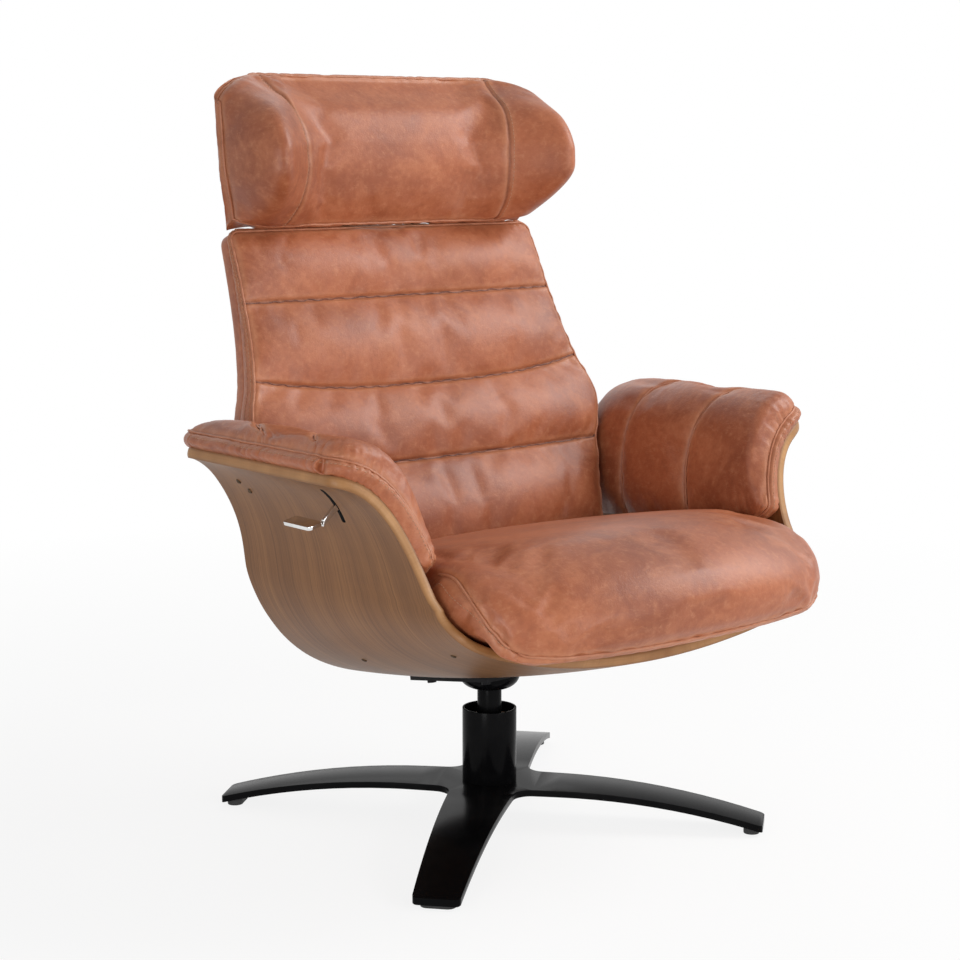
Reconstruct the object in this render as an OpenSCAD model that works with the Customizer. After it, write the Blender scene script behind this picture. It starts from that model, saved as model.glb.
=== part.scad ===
// Swivel recliner on a four-leg star base: a bent plywood shell carries the upholstered
// arms, a seat that slides, a back that reclines, a headrest that tilts and a release lever.
// The chair faces -Y. The origin is on the floor, on the swivel axis. Lengths are millimetres.

/* [Star base] */
// Reach of a leg, from the swivel axis to its tip
leg_reach = 385; // [340:1:420]
// Width of a leg at its tip
leg_tip_w = 62; // [50:1:75]
// Width of a leg where it meets the hub
leg_root_w = 96; // [85:1:105]
// Thickness of the leg plate
leg_t = 9; // [7:0.5:12]
// How far a leg bends down between the hub and its tip
leg_drop = 39; // [30:1:48]
// Radius of the flat middle of the star
hub_flat_r = 100; // [92:1:110]
// Rounding between two legs
leg_fillet_r = 26; // [16:1:34]
// Rounding of the corners of a leg tip
leg_corner_r = 7; // [3:1:14]
// Gap between the floor and the underside of a leg tip
tip_clear = 6; // [4:0.5:12]
// Turn of the first leg from the chair's right-hand side
leg_turn = -50; // [-60:1:-40]
// Length of a foot glide, across the leg
glide_l = 46; // [34:1:52]
// Depth of a foot glide, along the leg
glide_d = 22; // [16:1:28]
// Distance from a leg tip to the middle of its glide
glide_inset = 16; // [14:1:40]

/* [Column] */
// Outer radius of the column sleeve
column_r = 38; // [34:1:44]
// Wall of the column sleeve
column_wall = 3; // [2:0.5:5]
// Height of the column sleeve
column_h = 104; // [90:1:120]
// Depth of the open ring at the top of the column
column_recess = 14; // [8:1:20]
// Radius of the swivel spindle
spindle_r = 17; // [14:0.5:19]
// Length of the spindle that shows between column and bell
spindle_show = 29; // [20:1:40]
// Wall of a bearing bush
bush_wall = 3; // [2:0.5:4]
// Length of a bearing bush
bush_l = 24; // [16:1:30]
// Wall of the bearing housing
housing_wall = 4; // [3:0.5:5]
// Outer radius of the bell under the mounting plate
bell_r = 43; // [38:1:48]

/* [Shell] */
// Half width of the plywood shell at its waist
shell_half_w = 326; // [315:1:335]
// Reach of a flared arm beyond the waist
flare_out = 86; // [76:1:94]
// Height of the waist, where the floor's curve ends, above the floor of the shell
shell_depth = 182; // [174:1:188]
// Height of the flared arm edge above the waist
flare_rise = 147; // [140:1:154]
// Thickness of the plywood
ply_t = 14; // [11:0.5:16]
// Depth of the shell in front of the swivel axis
shell_front = 340; // [332:1:348]
// Depth of the shell behind the swivel axis
shell_rear = 128; // [120:1:135]
// Backward slope of the shell floor and of the seat slide
rake = 10; // [8:0.5:12]

/* [Seat] */
// Thickness of the seat cushion
seat_t = 118; // [108:1:124]
// Gap between the seat cushion and an arm pad
seat_side_gap = 4; // [2:0.5:8]
// Spread of the seat front beyond its width between the arms
seat_wing = 15; // [8:1:17]
// Reach of the seat nose in front of the swivel axis, along the slope
seat_reach = 447; // [440:1:456]
// Rise of the middle of the seat above its sides
seat_crown = 10; // [4:1:14]

/* [Back] */
// Lean of the board and frame behind the back cushion
board_lean = 19.2; // [18:0.1:21]
// Height of the back above the recline axis, along the board
back_top = 512; // [500:1:516]
// Step in of the back cushion's shoulders from the waist of the shell
shoulder_inset = 17; // [15:1:30]
// Depth of the back cushion seam in front of the frame, at the recline axis
back_depth = 64; // [58:1:68]
// Depth of the back cushion seam in front of the frame, at the top
back_top_depth = 19; // [17:1:26]
// Bulge of each sewn section of the back cushion
back_crown = 17; // [10:1:22]
// Recline of the back from upright, in degrees
recline = 22; // [16:1:24]

/* [Headrest] */
// Half width of the headrest
headrest_half_w = 285; // [272:1:290]
// Height of the headrest
headrest_h = 206; // [195:1:212]
// Depth of the headrest wings in front of its face
wing_depth = 51; // [40:1:57]
// Forward tilt of the headrest, in degrees
headrest_tilt = 15; // [8:1:16]

/* [Arms] */
// Thickness of an arm pad on the wall of the shell
pad_wall_t = 30; // [26:1:33]
// Thickness of an arm pad over the flare
pad_flare_t = 50; // [44:1:56]
// Thickness of an arm pad at its piped edge
pad_edge_t = 20; // [15:1:24]

/* [Lever] */
// Length of the lever paddle
paddle_l = 58; // [46:1:66]
// Width of the lever paddle
paddle_w = 22; // [16:1:26]
// Width of the slot in the shell for the lever
slot_w = 8; // [7:0.5:12]

/* [Hidden] */

// Shared clearances
overrun = 1;
run_gap = 0.05;
slide_gap = 0.5;
soft_gap = 0.5;
fine = 96;
arch_fine = 360;

// Sizes of steel stock used in the mechanism
bar_t = 6;
sheet_t = 3;
bolt_r = 4;
bolt_head_r = 7;
bolt_head_h = 5;

// Star base
leg_count = 4;
leg_run = leg_reach - hub_flat_r;
arch_r = (leg_run * leg_run + leg_drop * leg_drop) / (2 * leg_drop);
hub_top = tip_clear + leg_t + leg_drop;
leg_taper = atan((leg_root_w - leg_tip_w) / (2 * leg_reach));
base_bolt_r = 5;
base_washer_r = 13;
base_washer_t = 2;

// Column
column_top = hub_top + column_h;
bush_r = spindle_r + bush_wall;
housing_r = bush_r + housing_wall;
housing_floor = 6;
housing_top = column_top - column_recess;
flange_t = 4;
washer_t = 3;
spindle_foot = hub_top + housing_floor + washer_t;
bell_z = column_top + spindle_show;
bell_rim_t = 6;
ring_t = 3;
ring_groove = 2;
ring_reach = 1.6;

// Shell
bell_rise = 21;
floor_z = bell_z + bell_rise;
waist_z = floor_z + shell_depth;
flare_z = waist_z + flare_rise;
flare_half_w = shell_half_w + flare_out;
flare_share = 0.6;
floor_curve_share = 0.278;
flare_lean_share = 0.26;
floor_cols = 13;
flare_cols = 9;
shell_cols = floor_cols + flare_cols;
shell_rows = 9;
front_place_shares = [0, 0.133, 0.233, 0.3, 0.367, 0.433, 0.5, 0.6];
front_reach_shares = [0.991, 0.997, 1.01, 0.99, 0.947, 0.916, 0.893, 0.841];
front_top_share = 0.226;
rear_place_shares = [0, 0.2, 0.4, 0.5, 0.6, 0.7, 0.84, 1];
rear_reach_shares = [1.09, 1.02, 0.82, 0.82, 0.92, 0.97, 1.06, 1.04];
corner_r = 20;
corner_share = 0.93;
screw_place_shares = [[0.375, -0.747], [0.307, -0.067], [0.828, 0.192], [0.86, 0.232]];
screw_r = 2.5;
screw_head_r = 5.5;
screw_head_h = 2.4;
head_gap = 0.9;
screw_depth = 10;

// Recline axis
hinge_inset = 47.4;
hinge_rise = 123;
hinge_y = shell_rear - hinge_inset;
hinge_z = floor_z + hinge_rise;

// Mounting plate and chassis
plate_w = 110;
plate_rear = 112;
plate_crown = 2;
plate_front = 62;
plate_t = 5;
plate_hole_x = 40;
plate_hole_rear = 82;
plate_hole_front = 40;
chassis_bar_w = 30;
chassis_rise = 16;
chassis_half_w = 128;
chassis_flat_x = plate_w / 2;

// Slide
rail_x = 105;
rail_w = 24;
rail_h = 14;
rail_wall = 2;
rail_gap = 0.2;
stop_l = 8;
runner_inset = 2;
runner_l = 150;
runner_neck = 9;
tail_l = 85;
seat_inset = 83.6;
seat_overhang = 27;
nose_overhang = 147;
seat_travel = tail_l * sin(recline);
seat_rear = hinge_y - seat_inset;
frame_rear = seat_rear - seat_overhang;
frame_front = nose_overhang - seat_reach;
runner_rear = frame_rear - runner_inset;
rail_front = runner_l - runner_rear + seat_travel + slide_gap + stop_l;
frame_half_w = 150;
frame_t = 14;
frame_bar = 22;
web_t = 2;
web_w = 46;
web_count = 5;
drive_x = 62;
drive_r = 5;
tail_x = 77;
tail_w = 22;
gas_r = 11;
gas_wall = 3;
gas_l = 84;
gas_hold = 50;
rod_r = 4;
rod_l = 100;
tab_t = 8;
tab_w = 24;
gas_strip_w = 40;
clamp_l = 10;
gas_rear = 2 * frame_bar - frame_rear + seat_travel - stop_l / 2;
rail_inset = 9;
panel_inset = 22;
panel_y = shell_rear - panel_inset;
rail_rear = panel_y - rail_inset;
rail_l = rail_front + rail_rear;

// Seat cushion
seat_cols = 12;
seat_rows = 17;
seat_bow = 62;
seat_edge_r = 20;
seat_corner = 22;
under_gap = 7;
nose_t = 6;
seat_upper_shares = [[0, 0.97], [0.14, 1], [0.33, 1.01], [0.52, 1.01], [0.68, 0.98], [0.82, 0.87],
                     [0.92, 0.66], [0.982, 0.41], [1, 0.22]];
seat_lower_shares = [[0.065, 0], [0.25, 0], [0.45, 0], [0.62, 0], [0.74, 0], [0.85, -0.05],
                     [0.93, -0.18], [0.985, -0.08], [1, 0.14]];
upper_wing_shares = [0.76, 0.82];
lower_wing_shares = [0.82, 0.88];
seat_corner_share = 0.84;

// Back
hinge_pin_r = 6;
lug_r = 14;
bracket_inset = 83;
bracket_offset_share = 0.036;
bracket_x = shell_half_w - bracket_inset;
bracket_l = 66;
bracket_h = 56;
bracket_rise = 14;
bracket_top = hinge_z + bracket_rise;
bracket_y = hinge_y + bracket_offset_share * bracket_l;
bracket_shares = [[-0.5, -0.25], [-0.5, -0.1], [-0.4, 0], [0.4, 0], [0.5, -0.1], [0.5, -0.25],
                  [0.22, -0.94], [0.12, -1], [-0.08, -1], [-0.18, -0.94]];
standoff_shares = [[-0.32, -0.19], [0.32, -0.19], [0.02, -0.78]];
standoff_r = 8;
panel_t = 4;
panel_gap = 17;
panel_half_w = bracket_x - panel_gap;
panel_rise = 11;
panel_top = hinge_z + panel_rise;
cover_t = 3;
cover_back_t = 9;
board_t = 8;
back_low = 38;
back_corner_r = 22;
back_height_shares = [0.068, 0.33, 0.46, 0.577, 0.69, 0.8, 0.9, 1];
back_width_shares = [0.812, 0.92, 1, 0.94, 0.904, 0.884, 0.874, 0.868];
channel_shares = [0, 0.28, 0.551, 0.783, 1];
channel_dip_shares = [0, 0.18, 1, 0.06, 0];
channel_dip = 17;
channel_rows = 5;
back_cols = 9;
outline_steps = 24;
upright_gap = 26;
upright_x = bracket_x - upright_gap;
shoulder_half_w = shell_half_w - shoulder_inset;
crossbar_low = 12;
crossbar_h = 22;
crossbar_inset = 22;
crossbar_top = back_top - crossbar_inset;
crossbar_middle = 260;
post_x = 60;
post_w = 22;
post_rise = 10;
post_bend = back_top + post_rise;
eye_r = 9;

// Headrest
tilt_ahead = 38.7;
tilt_rise = 47.4;
tilt_y = -tilt_ahead;
tilt_z = back_top + tilt_rise;
headrest_y = hinge_y + tilt_y * cos(board_lean) + tilt_z * sin(board_lean);
headrest_z = hinge_z - tilt_y * sin(board_lean) + tilt_z * cos(board_lean);
headrest_drop = 46;
headrest_back_low = 20;
headrest_back_top = 35;
headrest_pin_r = 4;
headrest_cols = 12;
headrest_rows = 14;
headrest_curl = 28;
headrest_chin = 8;
headrest_brow = 20;
headrest_height_shares = [0, 0.02, 0.165, 0.36, 0.49, 0.585, 0.776, 0.938, 1];
headrest_front_shares = [-0.22, -0.38, -0.78, -1, -0.97, -0.89, -0.38, 0.7, 0.81];
headrest_face = 37;
headrest_end_share = 0.82;
curl_share = 0.68;
wing_root_share = 0.6;
wing_full_share = 0.86;
wing_tip_share = 0.87;
wing_fade_share = 0.35;
head_plate_y = -16;
head_plate_t = 4;
head_plate_low = -20;
head_plate_h = 42;
pocket_gap = 2;

// Lever
lever_y = -130;
lever_share = 0.804;
lever_inset = 29;
lever_pin_r = 3;
slot_below = 19;
slot_above = 26;
ear_gap = 8;
ear_reach = 8;
ear_h = 28;
ear_rise = 11;
arm_bar_t = 5;
lever_eye_r = 7;
lever_l = 56;
paddle_drop = 18;
paddle_t = 5;
paddle_tilt = 14;
paddle_back = 55;
cavity_half = 20;
cavity_reach = 15;
cavity_below = 27;
cavity_h = 55;
lever_shares = [[0.036, 0.071], [-0.571, 0.116], [-0.714, 0.071], [-1, -0.214],
                [-1, -0.357], [-0.625, -0.045], [-0.536, -0.027], [0.036, -0.071]];

// Arm pads
pad_rows = 14;
pad_rear = 12;
pad_front_r = 24;
pad_rear_r = 150;
pad_place_shares = [0, 0.17, 0.45, 0.7, 0.875, 1];

// Colours
leather_colour = [0.62, 0.34, 0.22];
leather_dark_colour = [0.5, 0.27, 0.18];
ply_colour = [0.48, 0.35, 0.24];
gloss_black_colour = [0.05, 0.05, 0.055];
steel_colour = [0.62, 0.63, 0.65];
chrome_colour = [0.85, 0.86, 0.88];
nylon_colour = [0.9, 0.88, 0.82];
rubber_colour = [0.1, 0.1, 0.1];
foam_colour = [0.86, 0.8, 0.62];

// Curves and shells

// One point of a Catmull-Rom span between b and c.
function span_point(a, b, c, d, t) =
    (2 * b + (c - a) * t + (2 * a - 5 * b + 4 * c - d) * t * t
    + (3 * b - a - 3 * c + d) * t * t * t) / 2;

// The point at share s, from 0 to 1, of a smooth curve through the given points.
function curve_point(p, s) =
    let (spans = len(p) - 1, g = min(max(s, 0), 1) * spans, i = min(floor(g), spans - 1))
    span_point(p[max(i - 1, 0)], p[i], p[i + 1], p[min(i + 2, spans)], g - i);

// A table value between its places, smoothly interpolated.
function table_value(places, values, s) =
    let (n = len(places) - 1,
         i = s <= places[0] ? 0 : s >= places[n] ? n - 1
             : max([for (k = [0:n - 1]) if (places[k] <= s) k]),
         f = min(max((s - places[i]) / (places[i + 1] - places[i]), 0), 1))
    span_point(values[max(i - 1, 0)], values[i], values[i + 1], values[min(i + 2, n)], f);

function smooth(a, b, s) =
    let (f = min(max((s - a) / (b - a), 0), 1)) f * f * (3 - 2 * f);

function mix(a, b, f) = a + (b - a) * f;

// Closed solid between two grids of points with the same number of rows and columns.
module between(front, back) {
    rows = len(front);
    cols = len(front[0]);
    count = rows * cols;
    points = concat([for (r = front) each r], [for (r = back) each r]);
    function at(r, c, side) = side * count + r * cols + c;
    // The halves left and right of the middle are cut into triangles as mirror images.
    function turned(r, c) = front[r][c][0] + front[r][c + 1][0] < 0;
    function quad(a, b, c, d, turn) = turn ? [[a, d, b], [b, d, c]] : [[a, c, b], [a, d, c]];
    faces = concat(
        [for (r = [0:rows - 2]) for (c = [0:cols - 2])
            each quad(at(r, c, 0), at(r, c + 1, 0), at(r + 1, c + 1, 0), at(r + 1, c, 0),
                      turned(r, c))],
        [for (r = [0:rows - 2]) for (c = [0:cols - 2])
            each quad(at(r, c, 1), at(r + 1, c, 1), at(r + 1, c + 1, 1), at(r, c + 1, 1),
                      turned(r, c))],
        [for (r = [0:rows - 2])
            each quad(at(r, 0, 0), at(r + 1, 0, 0), at(r + 1, 0, 1), at(r, 0, 1), false)],
        [for (r = [0:rows - 2])
            each quad(at(r + 1, cols - 1, 0), at(r, cols - 1, 0),
                      at(r, cols - 1, 1), at(r + 1, cols - 1, 1), true)],
        [for (c = [0:cols - 2])
            each quad(at(0, c + 1, 0), at(0, c, 0), at(0, c, 1), at(0, c + 1, 1),
                      turned(0, c))],
        [for (c = [0:cols - 2])
            each quad(at(rows - 1, c, 0), at(rows - 1, c + 1, 0),
                      at(rows - 1, c + 1, 1), at(rows - 1, c, 1), turned(rows - 1, c))]);
    polyhedron(points, faces, convexity = 8);
}

module both_sides() {
    children();
    mirror([1, 0, 0]) children();
}

// Frame of the shell floor and seat slide: y runs back down the slope, z stands on it.
module raked() {
    translate([0, 0, floor_z]) rotate([-rake, 0, 0]) children();
}

function from_raked(p) =
    [p[0], p[1] * cos(rake) + p[2] * sin(rake), floor_z - p[1] * sin(rake) + p[2] * cos(rake)];

// Frame of the back board: origin on the recline axis, z runs up the board.
module boarded() {
    translate([0, hinge_y, hinge_z]) rotate([-board_lean, 0, 0]) children();
}

// Star base

module leg_plan() {
    tip = leg_tip_w / 2;
    inner = tip - leg_corner_r;
    polygon([[0, -leg_root_w / 2], [leg_reach - leg_corner_r, -tip], [leg_reach - leg_corner_r, tip],
             [0, leg_root_w / 2]]);
    translate([leg_reach - leg_corner_r, 0]) square([2 * leg_corner_r, 2 * inner], center = true);
    for (side = [-1, 1])
        translate([leg_reach - leg_corner_r, side * inner]) circle(r = leg_corner_r, $fn = fine);
}

// Solid disc whose rim is the arch that the legs follow.
module arch_disc(depth) {
    translate([hub_flat_r, 0, hub_top - arch_r])
        rotate([90, 0, 0])
            cylinder(r = arch_r - depth, h = 2 * leg_root_w, center = true, $fn = arch_fine);
}

module leg() {
    intersection() {
        linear_extrude(hub_top + overrun) leg_plan();
        union() {
            difference() {
                arch_disc(0);
                arch_disc(leg_t);
                translate([-leg_reach, -leg_root_w, 0])
                    cube([leg_reach + hub_flat_r, 2 * leg_root_w, hub_top + overrun]);
            }
            translate([0, -leg_root_w, hub_top - leg_t])
                cube([hub_flat_r, 2 * leg_root_w, leg_t]);
        }
    }
}

// Flat web that rounds the corner between one leg and the next.
module leg_web() {
    half = 45 + leg_taper;
    corner = (leg_root_w / 2) * cos(leg_taper) / sin(half);
    centre = corner + leg_fillet_r / sin(half);
    touch = leg_fillet_r / tan(half);
    rotate(45)
        difference() {
            polygon([[0, 0],
                     [corner + touch * cos(half), -touch * sin(half)],
                     [corner + touch * cos(half), touch * sin(half)]]);
            translate([centre, 0]) circle(r = leg_fillet_r, $fn = fine);
        }
}

module star_base() {
    color(gloss_black_colour)
        rotate(leg_turn)
            difference() {
                union()
                    for (i = [0:leg_count - 1])
                        rotate(i * 360 / leg_count) {
                            leg();
                            translate([0, 0, hub_top - leg_t]) linear_extrude(leg_t) leg_web();
                        }
                translate([0, 0, -overrun])
                    cylinder(r = base_bolt_r + slide_gap, h = hub_top + 2 * overrun, $fn = fine);
            }
}

module foot_glides() {
    across = glide_l - glide_d;
    color(rubber_colour)
        for (i = [0:leg_count - 1])
            rotate(leg_turn + i * 360 / leg_count)
                intersection() {
                    translate([leg_reach - glide_inset, 0, 0])
                        union() {
                            translate([-glide_d / 2, -across / 2, 0]) cube([glide_d, across, hub_top]);
                            for (side = [-1, 1])
                                translate([0, side * across / 2, 0])
                                    cylinder(d = glide_d, h = hub_top, $fn = fine);
                        }
                    arch_disc(leg_t);
                }
}

// Column and swivel bearing

module tube(outer, inner, h) {
    difference() {
        cylinder(r = outer, h = h, $fn = fine);
        translate([0, 0, -overrun]) cylinder(r = inner, h = h + 2 * overrun, $fn = fine);
    }
}

module column_sleeve() {
    color(gloss_black_colour)
        translate([0, 0, hub_top]) tube(column_r, column_r - column_wall, column_h);
}

module bearing_housing() {
    body_h = housing_top - hub_top;
    color(steel_colour)
        translate([0, 0, hub_top])
            difference() {
                union() {
                    cylinder(r = housing_r, h = body_h, $fn = fine);
                    cylinder(r = column_r - column_wall, h = housing_floor, $fn = fine);
                    translate([0, 0, body_h - flange_t])
                        cylinder(r = column_r - column_wall, h = flange_t, $fn = fine);
                }
                translate([0, 0, housing_floor]) cylinder(r = bush_r, h = body_h, $fn = fine);
                translate([0, 0, -overrun])
                    cylinder(r = base_bolt_r, h = housing_floor + 2 * overrun, $fn = fine);
            }
}

module bush_upper() {
    color(nylon_colour)
        translate([0, 0, housing_top - bush_l]) {
            tube(bush_r, spindle_r + run_gap, bush_l);
            translate([0, 0, bush_l])
                tube(housing_r, spindle_r + run_gap, bush_wall);
        }
}

module bush_lower() {
    color(nylon_colour)
        translate([0, 0, spindle_foot + 2 * ring_t + ring_groove])
            tube(bush_r, spindle_r + run_gap, bush_l);
}

module thrust_washer() {
    color(nylon_colour)
        translate([0, 0, hub_top + housing_floor])
            cylinder(r = bush_r - slide_gap, h = washer_t, $fn = fine);
}

module base_bolt() {
    head_z = hub_top - leg_t - base_washer_t;
    color(steel_colour) {
        translate([0, 0, head_z]) cylinder(r = base_bolt_r, h = base_washer_t + leg_t + housing_floor,
                                           $fn = fine);
        translate([0, 0, head_z - bolt_head_h]) cylinder(r = 2 * base_bolt_r, h = bolt_head_h, $fn = 6);
    }
}

module base_washer() {
    color(steel_colour)
        translate([0, 0, hub_top - leg_t - base_washer_t])
            tube(base_washer_r, base_bolt_r, base_washer_t);
}

// Swivelling part: spindle, bell and plate

module spindle() {
    color(gloss_black_colour)
        translate([0, 0, spindle_foot])
            difference() {
                cylinder(r = spindle_r, h = bell_z + bell_rim_t - spindle_foot, $fn = fine);
                translate([0, 0, ring_t])
                    tube(spindle_r + overrun, spindle_r - ring_groove, ring_t);
            }
}

module retaining_ring() {
    color(steel_colour)
        translate([0, 0, spindle_foot + ring_t])
            tube(spindle_r + ring_reach, spindle_r - ring_groove, ring_t);
}

module swivel_bell() {
    rise = floor_z - bell_z + bell_r * tan(rake);
    foot = spindle_r + bell_rim_t / 2;
    color(gloss_black_colour)
        difference() {
            translate([0, 0, bell_z])
                rotate_extrude($fn = fine)
                    polygon(concat(
                        [[0, 0], [foot, 0]],
                        [for (i = [1:8])
                            [foot + (bell_r - foot) * sin(i * 90 / 8),
                             (rise - bell_rim_t) * (1 - cos(i * 90 / 8)) * (1 - rake / 90)]],
                        [[bell_r, rise], [0, rise]]));
            translate([0, 0, bell_z - overrun])
                cylinder(r = spindle_r, h = bell_rim_t + overrun, $fn = fine);
            raked() translate([-plate_w, -plate_w, -plate_t]) cube([2 * plate_w, 2 * plate_w, plate_w]);
        }
}

module at_plate_holes() {
    for (x = [-plate_hole_x, plate_hole_x])
        for (y = [-plate_hole_front, plate_hole_rear])
            translate([x, y, 0]) children();
}

module mounting_plate() {
    color(gloss_black_colour)
        difference() {
            raked()
                difference() {
                    translate([-plate_w / 2, -plate_front, -plate_t])
                        cube([plate_w, plate_front + plate_rear, plate_t + plate_crown]);
                    at_plate_holes()
                        translate([0, 0, -plate_t - overrun])
                            cylinder(r = bolt_r, h = 2 * plate_t + 2 * overrun, $fn = fine);
                }
            shell_patch(-floor_cols, floor_cols);
        }
}

// Plywood shell

// Height of the outside of the floor on the centre line.
function floor_line(y) = floor_z - y * tan(rake) + floor_curve_share * y * y / (shell_front * 4);

// Flare of the arm, from the waist to the edge, as the four points of a cubic curve.
function flare_points() = [
    [shell_half_w, waist_z],
    [shell_half_w, mix(waist_z, flare_z, 0.41)],
    [mix(shell_half_w, flare_half_w, flare_lean_share), mix(waist_z, flare_z, 0.93)],
    [flare_half_w, flare_z]];

function cubic(p, t) =
    p[0] * pow(1 - t, 3) + p[1] * 3 * t * pow(1 - t, 2) + p[2] * 3 * t * t * (1 - t)
    + p[3] * t * t * t;

function cubic_slope(p, t) =
    (p[1] - p[0]) * pow(1 - t, 2) + (p[2] - p[1]) * 2 * t * (1 - t) + (p[3] - p[2]) * t * t;

// Section of the shell at share s, 0 at the centre and 1 at the edge, inset by d from its outside.
function section(s, y, d) =
    s <= flare_share
        ? let (a = 90 * s / flare_share, drop = waist_z - floor_line(y))
          [(shell_half_w - d) * sin(a), waist_z - (drop - d) * cos(a)]
        : let (t = (s - flare_share) / (1 - flare_share), p = cubic(flare_points(), t),
               v = cubic_slope(flare_points(), t), n = [-v[1], v[0]] / norm(v))
          p + n * d;

// Front and rear edges of the shell at share s.
function front_edge(s) =
    let (z = s <= flare_share ? waist_z : section(s, 0, 0)[1],
         f = (z - waist_z) / (flare_z - waist_z))
    corner(s) + shell_front * front_top_share * pow(max(f, 0), 0.65)
    - shell_front * table_value(front_place_shares, front_reach_shares, min(s, flare_share));

function rear_edge(s) =
    shell_rear * table_value(rear_place_shares, rear_reach_shares, s) - corner(s);

// Rounding of the corners of the flared arms.
function corner(s) =
    let (e = max((s - corner_share) / (1 - corner_share), 0)) corner_r * (1 - sqrt(1 - e * e));

function column_share(c) =
    c <= floor_cols
        ? flare_share * c / floor_cols
        : 1 - (1 - flare_share) * pow(1 - (c - floor_cols) / flare_cols, 1.6);

// Points of the shell, from the first to the last column and from rear to front.
function shell_grid(d, first = -shell_cols, last = shell_cols) = [
    for (r = [0:shell_rows]) [
        for (c = [first:last])
            let (s = column_share(abs(c)), y = mix(rear_edge(s), front_edge(s), r / shell_rows),
                 p = section(s, y, d))
            [sign(c) * p[0], y, p[1]]]];

// Height of the shell's inside above the raked datum, at x and at y along the slope.
function floor_height(x, y) =
    let (yw = y * cos(rake) + ply_t * sin(rake), drop = waist_z - floor_line(yw) - ply_t,
         half = shell_half_w - ply_t, f = min(abs(x) / half, 0.999),
         z = waist_z - drop * sqrt(1 - f * f))
    (z - floor_z + yw * tan(rake)) * cos(rake);

// Distance of the shell's wall from the middle, at y and z, inset by d from its outside.
function wall_x(y, z, d) =
    let (f = (waist_z - z) / (waist_z - floor_line(y) - d))
    (shell_half_w - d) * sqrt(1 - f * f);

// Solid part of the shell between two of its columns.
module shell_patch(first, last) {
    between(shell_grid(0, first, last), shell_grid(ply_t, first, last));
}

// Places something on the outside of the shell, at share s and depth y, facing out.
module on_shell(s, y) {
    p = section(s, y, 0);
    v = section(s + 0.001, y, 0) - section(s - 0.001, y, 0);
    translate([p[0], y, p[1]]) rotate([0, atan2(v[1], -v[0]), 0]) children();
}

module at_shell_screws() {
    both_sides()
        for (p = screw_place_shares)
            on_shell(p[0], p[1] * shell_front) children();
}

module lever_slot() {
    translate([-flare_half_w, lever_y - slot_w / 2, slot_low])
        cube([flare_half_w - lever_x + ply_t, slot_w, slot_above + slot_below]);
}

module shell() {
    color(ply_colour)
        difference() {
            shell_patch(-shell_cols, shell_cols);
            lever_slot();
            at_shell_screws()
                translate([0, 0, -screw_depth])
                    cylinder(r = screw_r, h = screw_depth + overrun, $fn = fine / 4);
            raked()
                at_plate_holes()
                    translate([0, 0, -ply_t])
                        cylinder(r = bolt_r + slide_gap, h = 4 * ply_t, $fn = fine);
        }
}

// Place of the lever's pin, and of what goes with it.
lever_x = section(lever_share, lever_y, lever_inset)[0];
lever_z = section(lever_share, lever_y, lever_inset)[1];
slot_low = lever_z - slot_below;
ear_top = lever_z + ear_rise;
cavity_low = lever_z - cavity_below;
paddle_x = lever_x + lever_l;
paddle_z = lever_z - paddle_drop;

// Chassis, rails and gas spring inside the shell

chassis_seat = max([for (y = [-plate_hole_front - chassis_bar_w / 2,
                         plate_hole_rear + chassis_bar_w / 2]) floor_height(chassis_flat_x, y)]);
rail_seat = chassis_seat + chassis_rise + sheet_t;
frame_z = rail_seat + rail_h + 2 * slide_gap;
deck_z = frame_z + frame_t + web_t;
gas_z = frame_z - 2 * slide_gap - gas_wall - gas_r;
strip_z = chassis_seat + sheet_t;

module chassis_bar() {
    flat = chassis_flat_x;
    wing = chassis_flat_x + chassis_rise;
    rotate([90, 0, 0])
        linear_extrude(chassis_bar_w, center = true)
            polygon([[-flat, -sheet_t], [flat, -sheet_t], [flat, 0], [wing, chassis_rise],
                     [chassis_half_w, chassis_rise], [chassis_half_w, chassis_rise + sheet_t],
                     [wing - sheet_t / 2, chassis_rise + sheet_t], [flat - sheet_t / 2, sheet_t],
                     [sheet_t / 2 - flat, sheet_t], [sheet_t / 2 - wing, chassis_rise + sheet_t],
                     [-chassis_half_w, chassis_rise + sheet_t], [-chassis_half_w, chassis_rise],
                     [-wing, chassis_rise], [-flat, 0]]);
}

module chassis() {
    color(gloss_black_colour)
        difference() {
            raked()
                translate([0, 0, chassis_seat])
                    difference() {
                        union() {
                            for (y = [-plate_hole_front, plate_hole_rear])
                                translate([0, y, 0]) chassis_bar();
                            translate([-chassis_flat_x + sheet_t, -plate_hole_front, 0])
                                cube([plate_w - 2 * sheet_t, plate_hole_rear + plate_hole_front, sheet_t]);
                        }
                        at_plate_holes()
                            translate([0, 0, -bar_t - overrun])
                                cylinder(r = bolt_r, h = bar_t + sheet_t + 2 * overrun, $fn = fine);
                    }
            shell_patch(-floor_cols, floor_cols);
        }
}

module plate_bolts() {
    color(gloss_black_colour)
        raked()
            at_plate_holes() {
                translate([0, 0, -plate_t])
                    cylinder(r = bolt_r, h = plate_t + strip_z + bolt_head_h, $fn = fine);
                translate([0, 0, -plate_t - bolt_head_h])
                    cylinder(r = bolt_head_r, h = bolt_head_h, $fn = 6);
            }
}

module plate_nuts() {
    color(steel_colour)
        raked()
            at_plate_holes()
                translate([0, 0, strip_z])
                    difference() {
                        cylinder(r = bolt_head_r, h = bolt_head_h, $fn = 6);
                        translate([0, 0, -overrun])
                            cylinder(r = bolt_r, h = bolt_head_h + 2 * overrun, $fn = fine);
                    }
}

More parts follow.
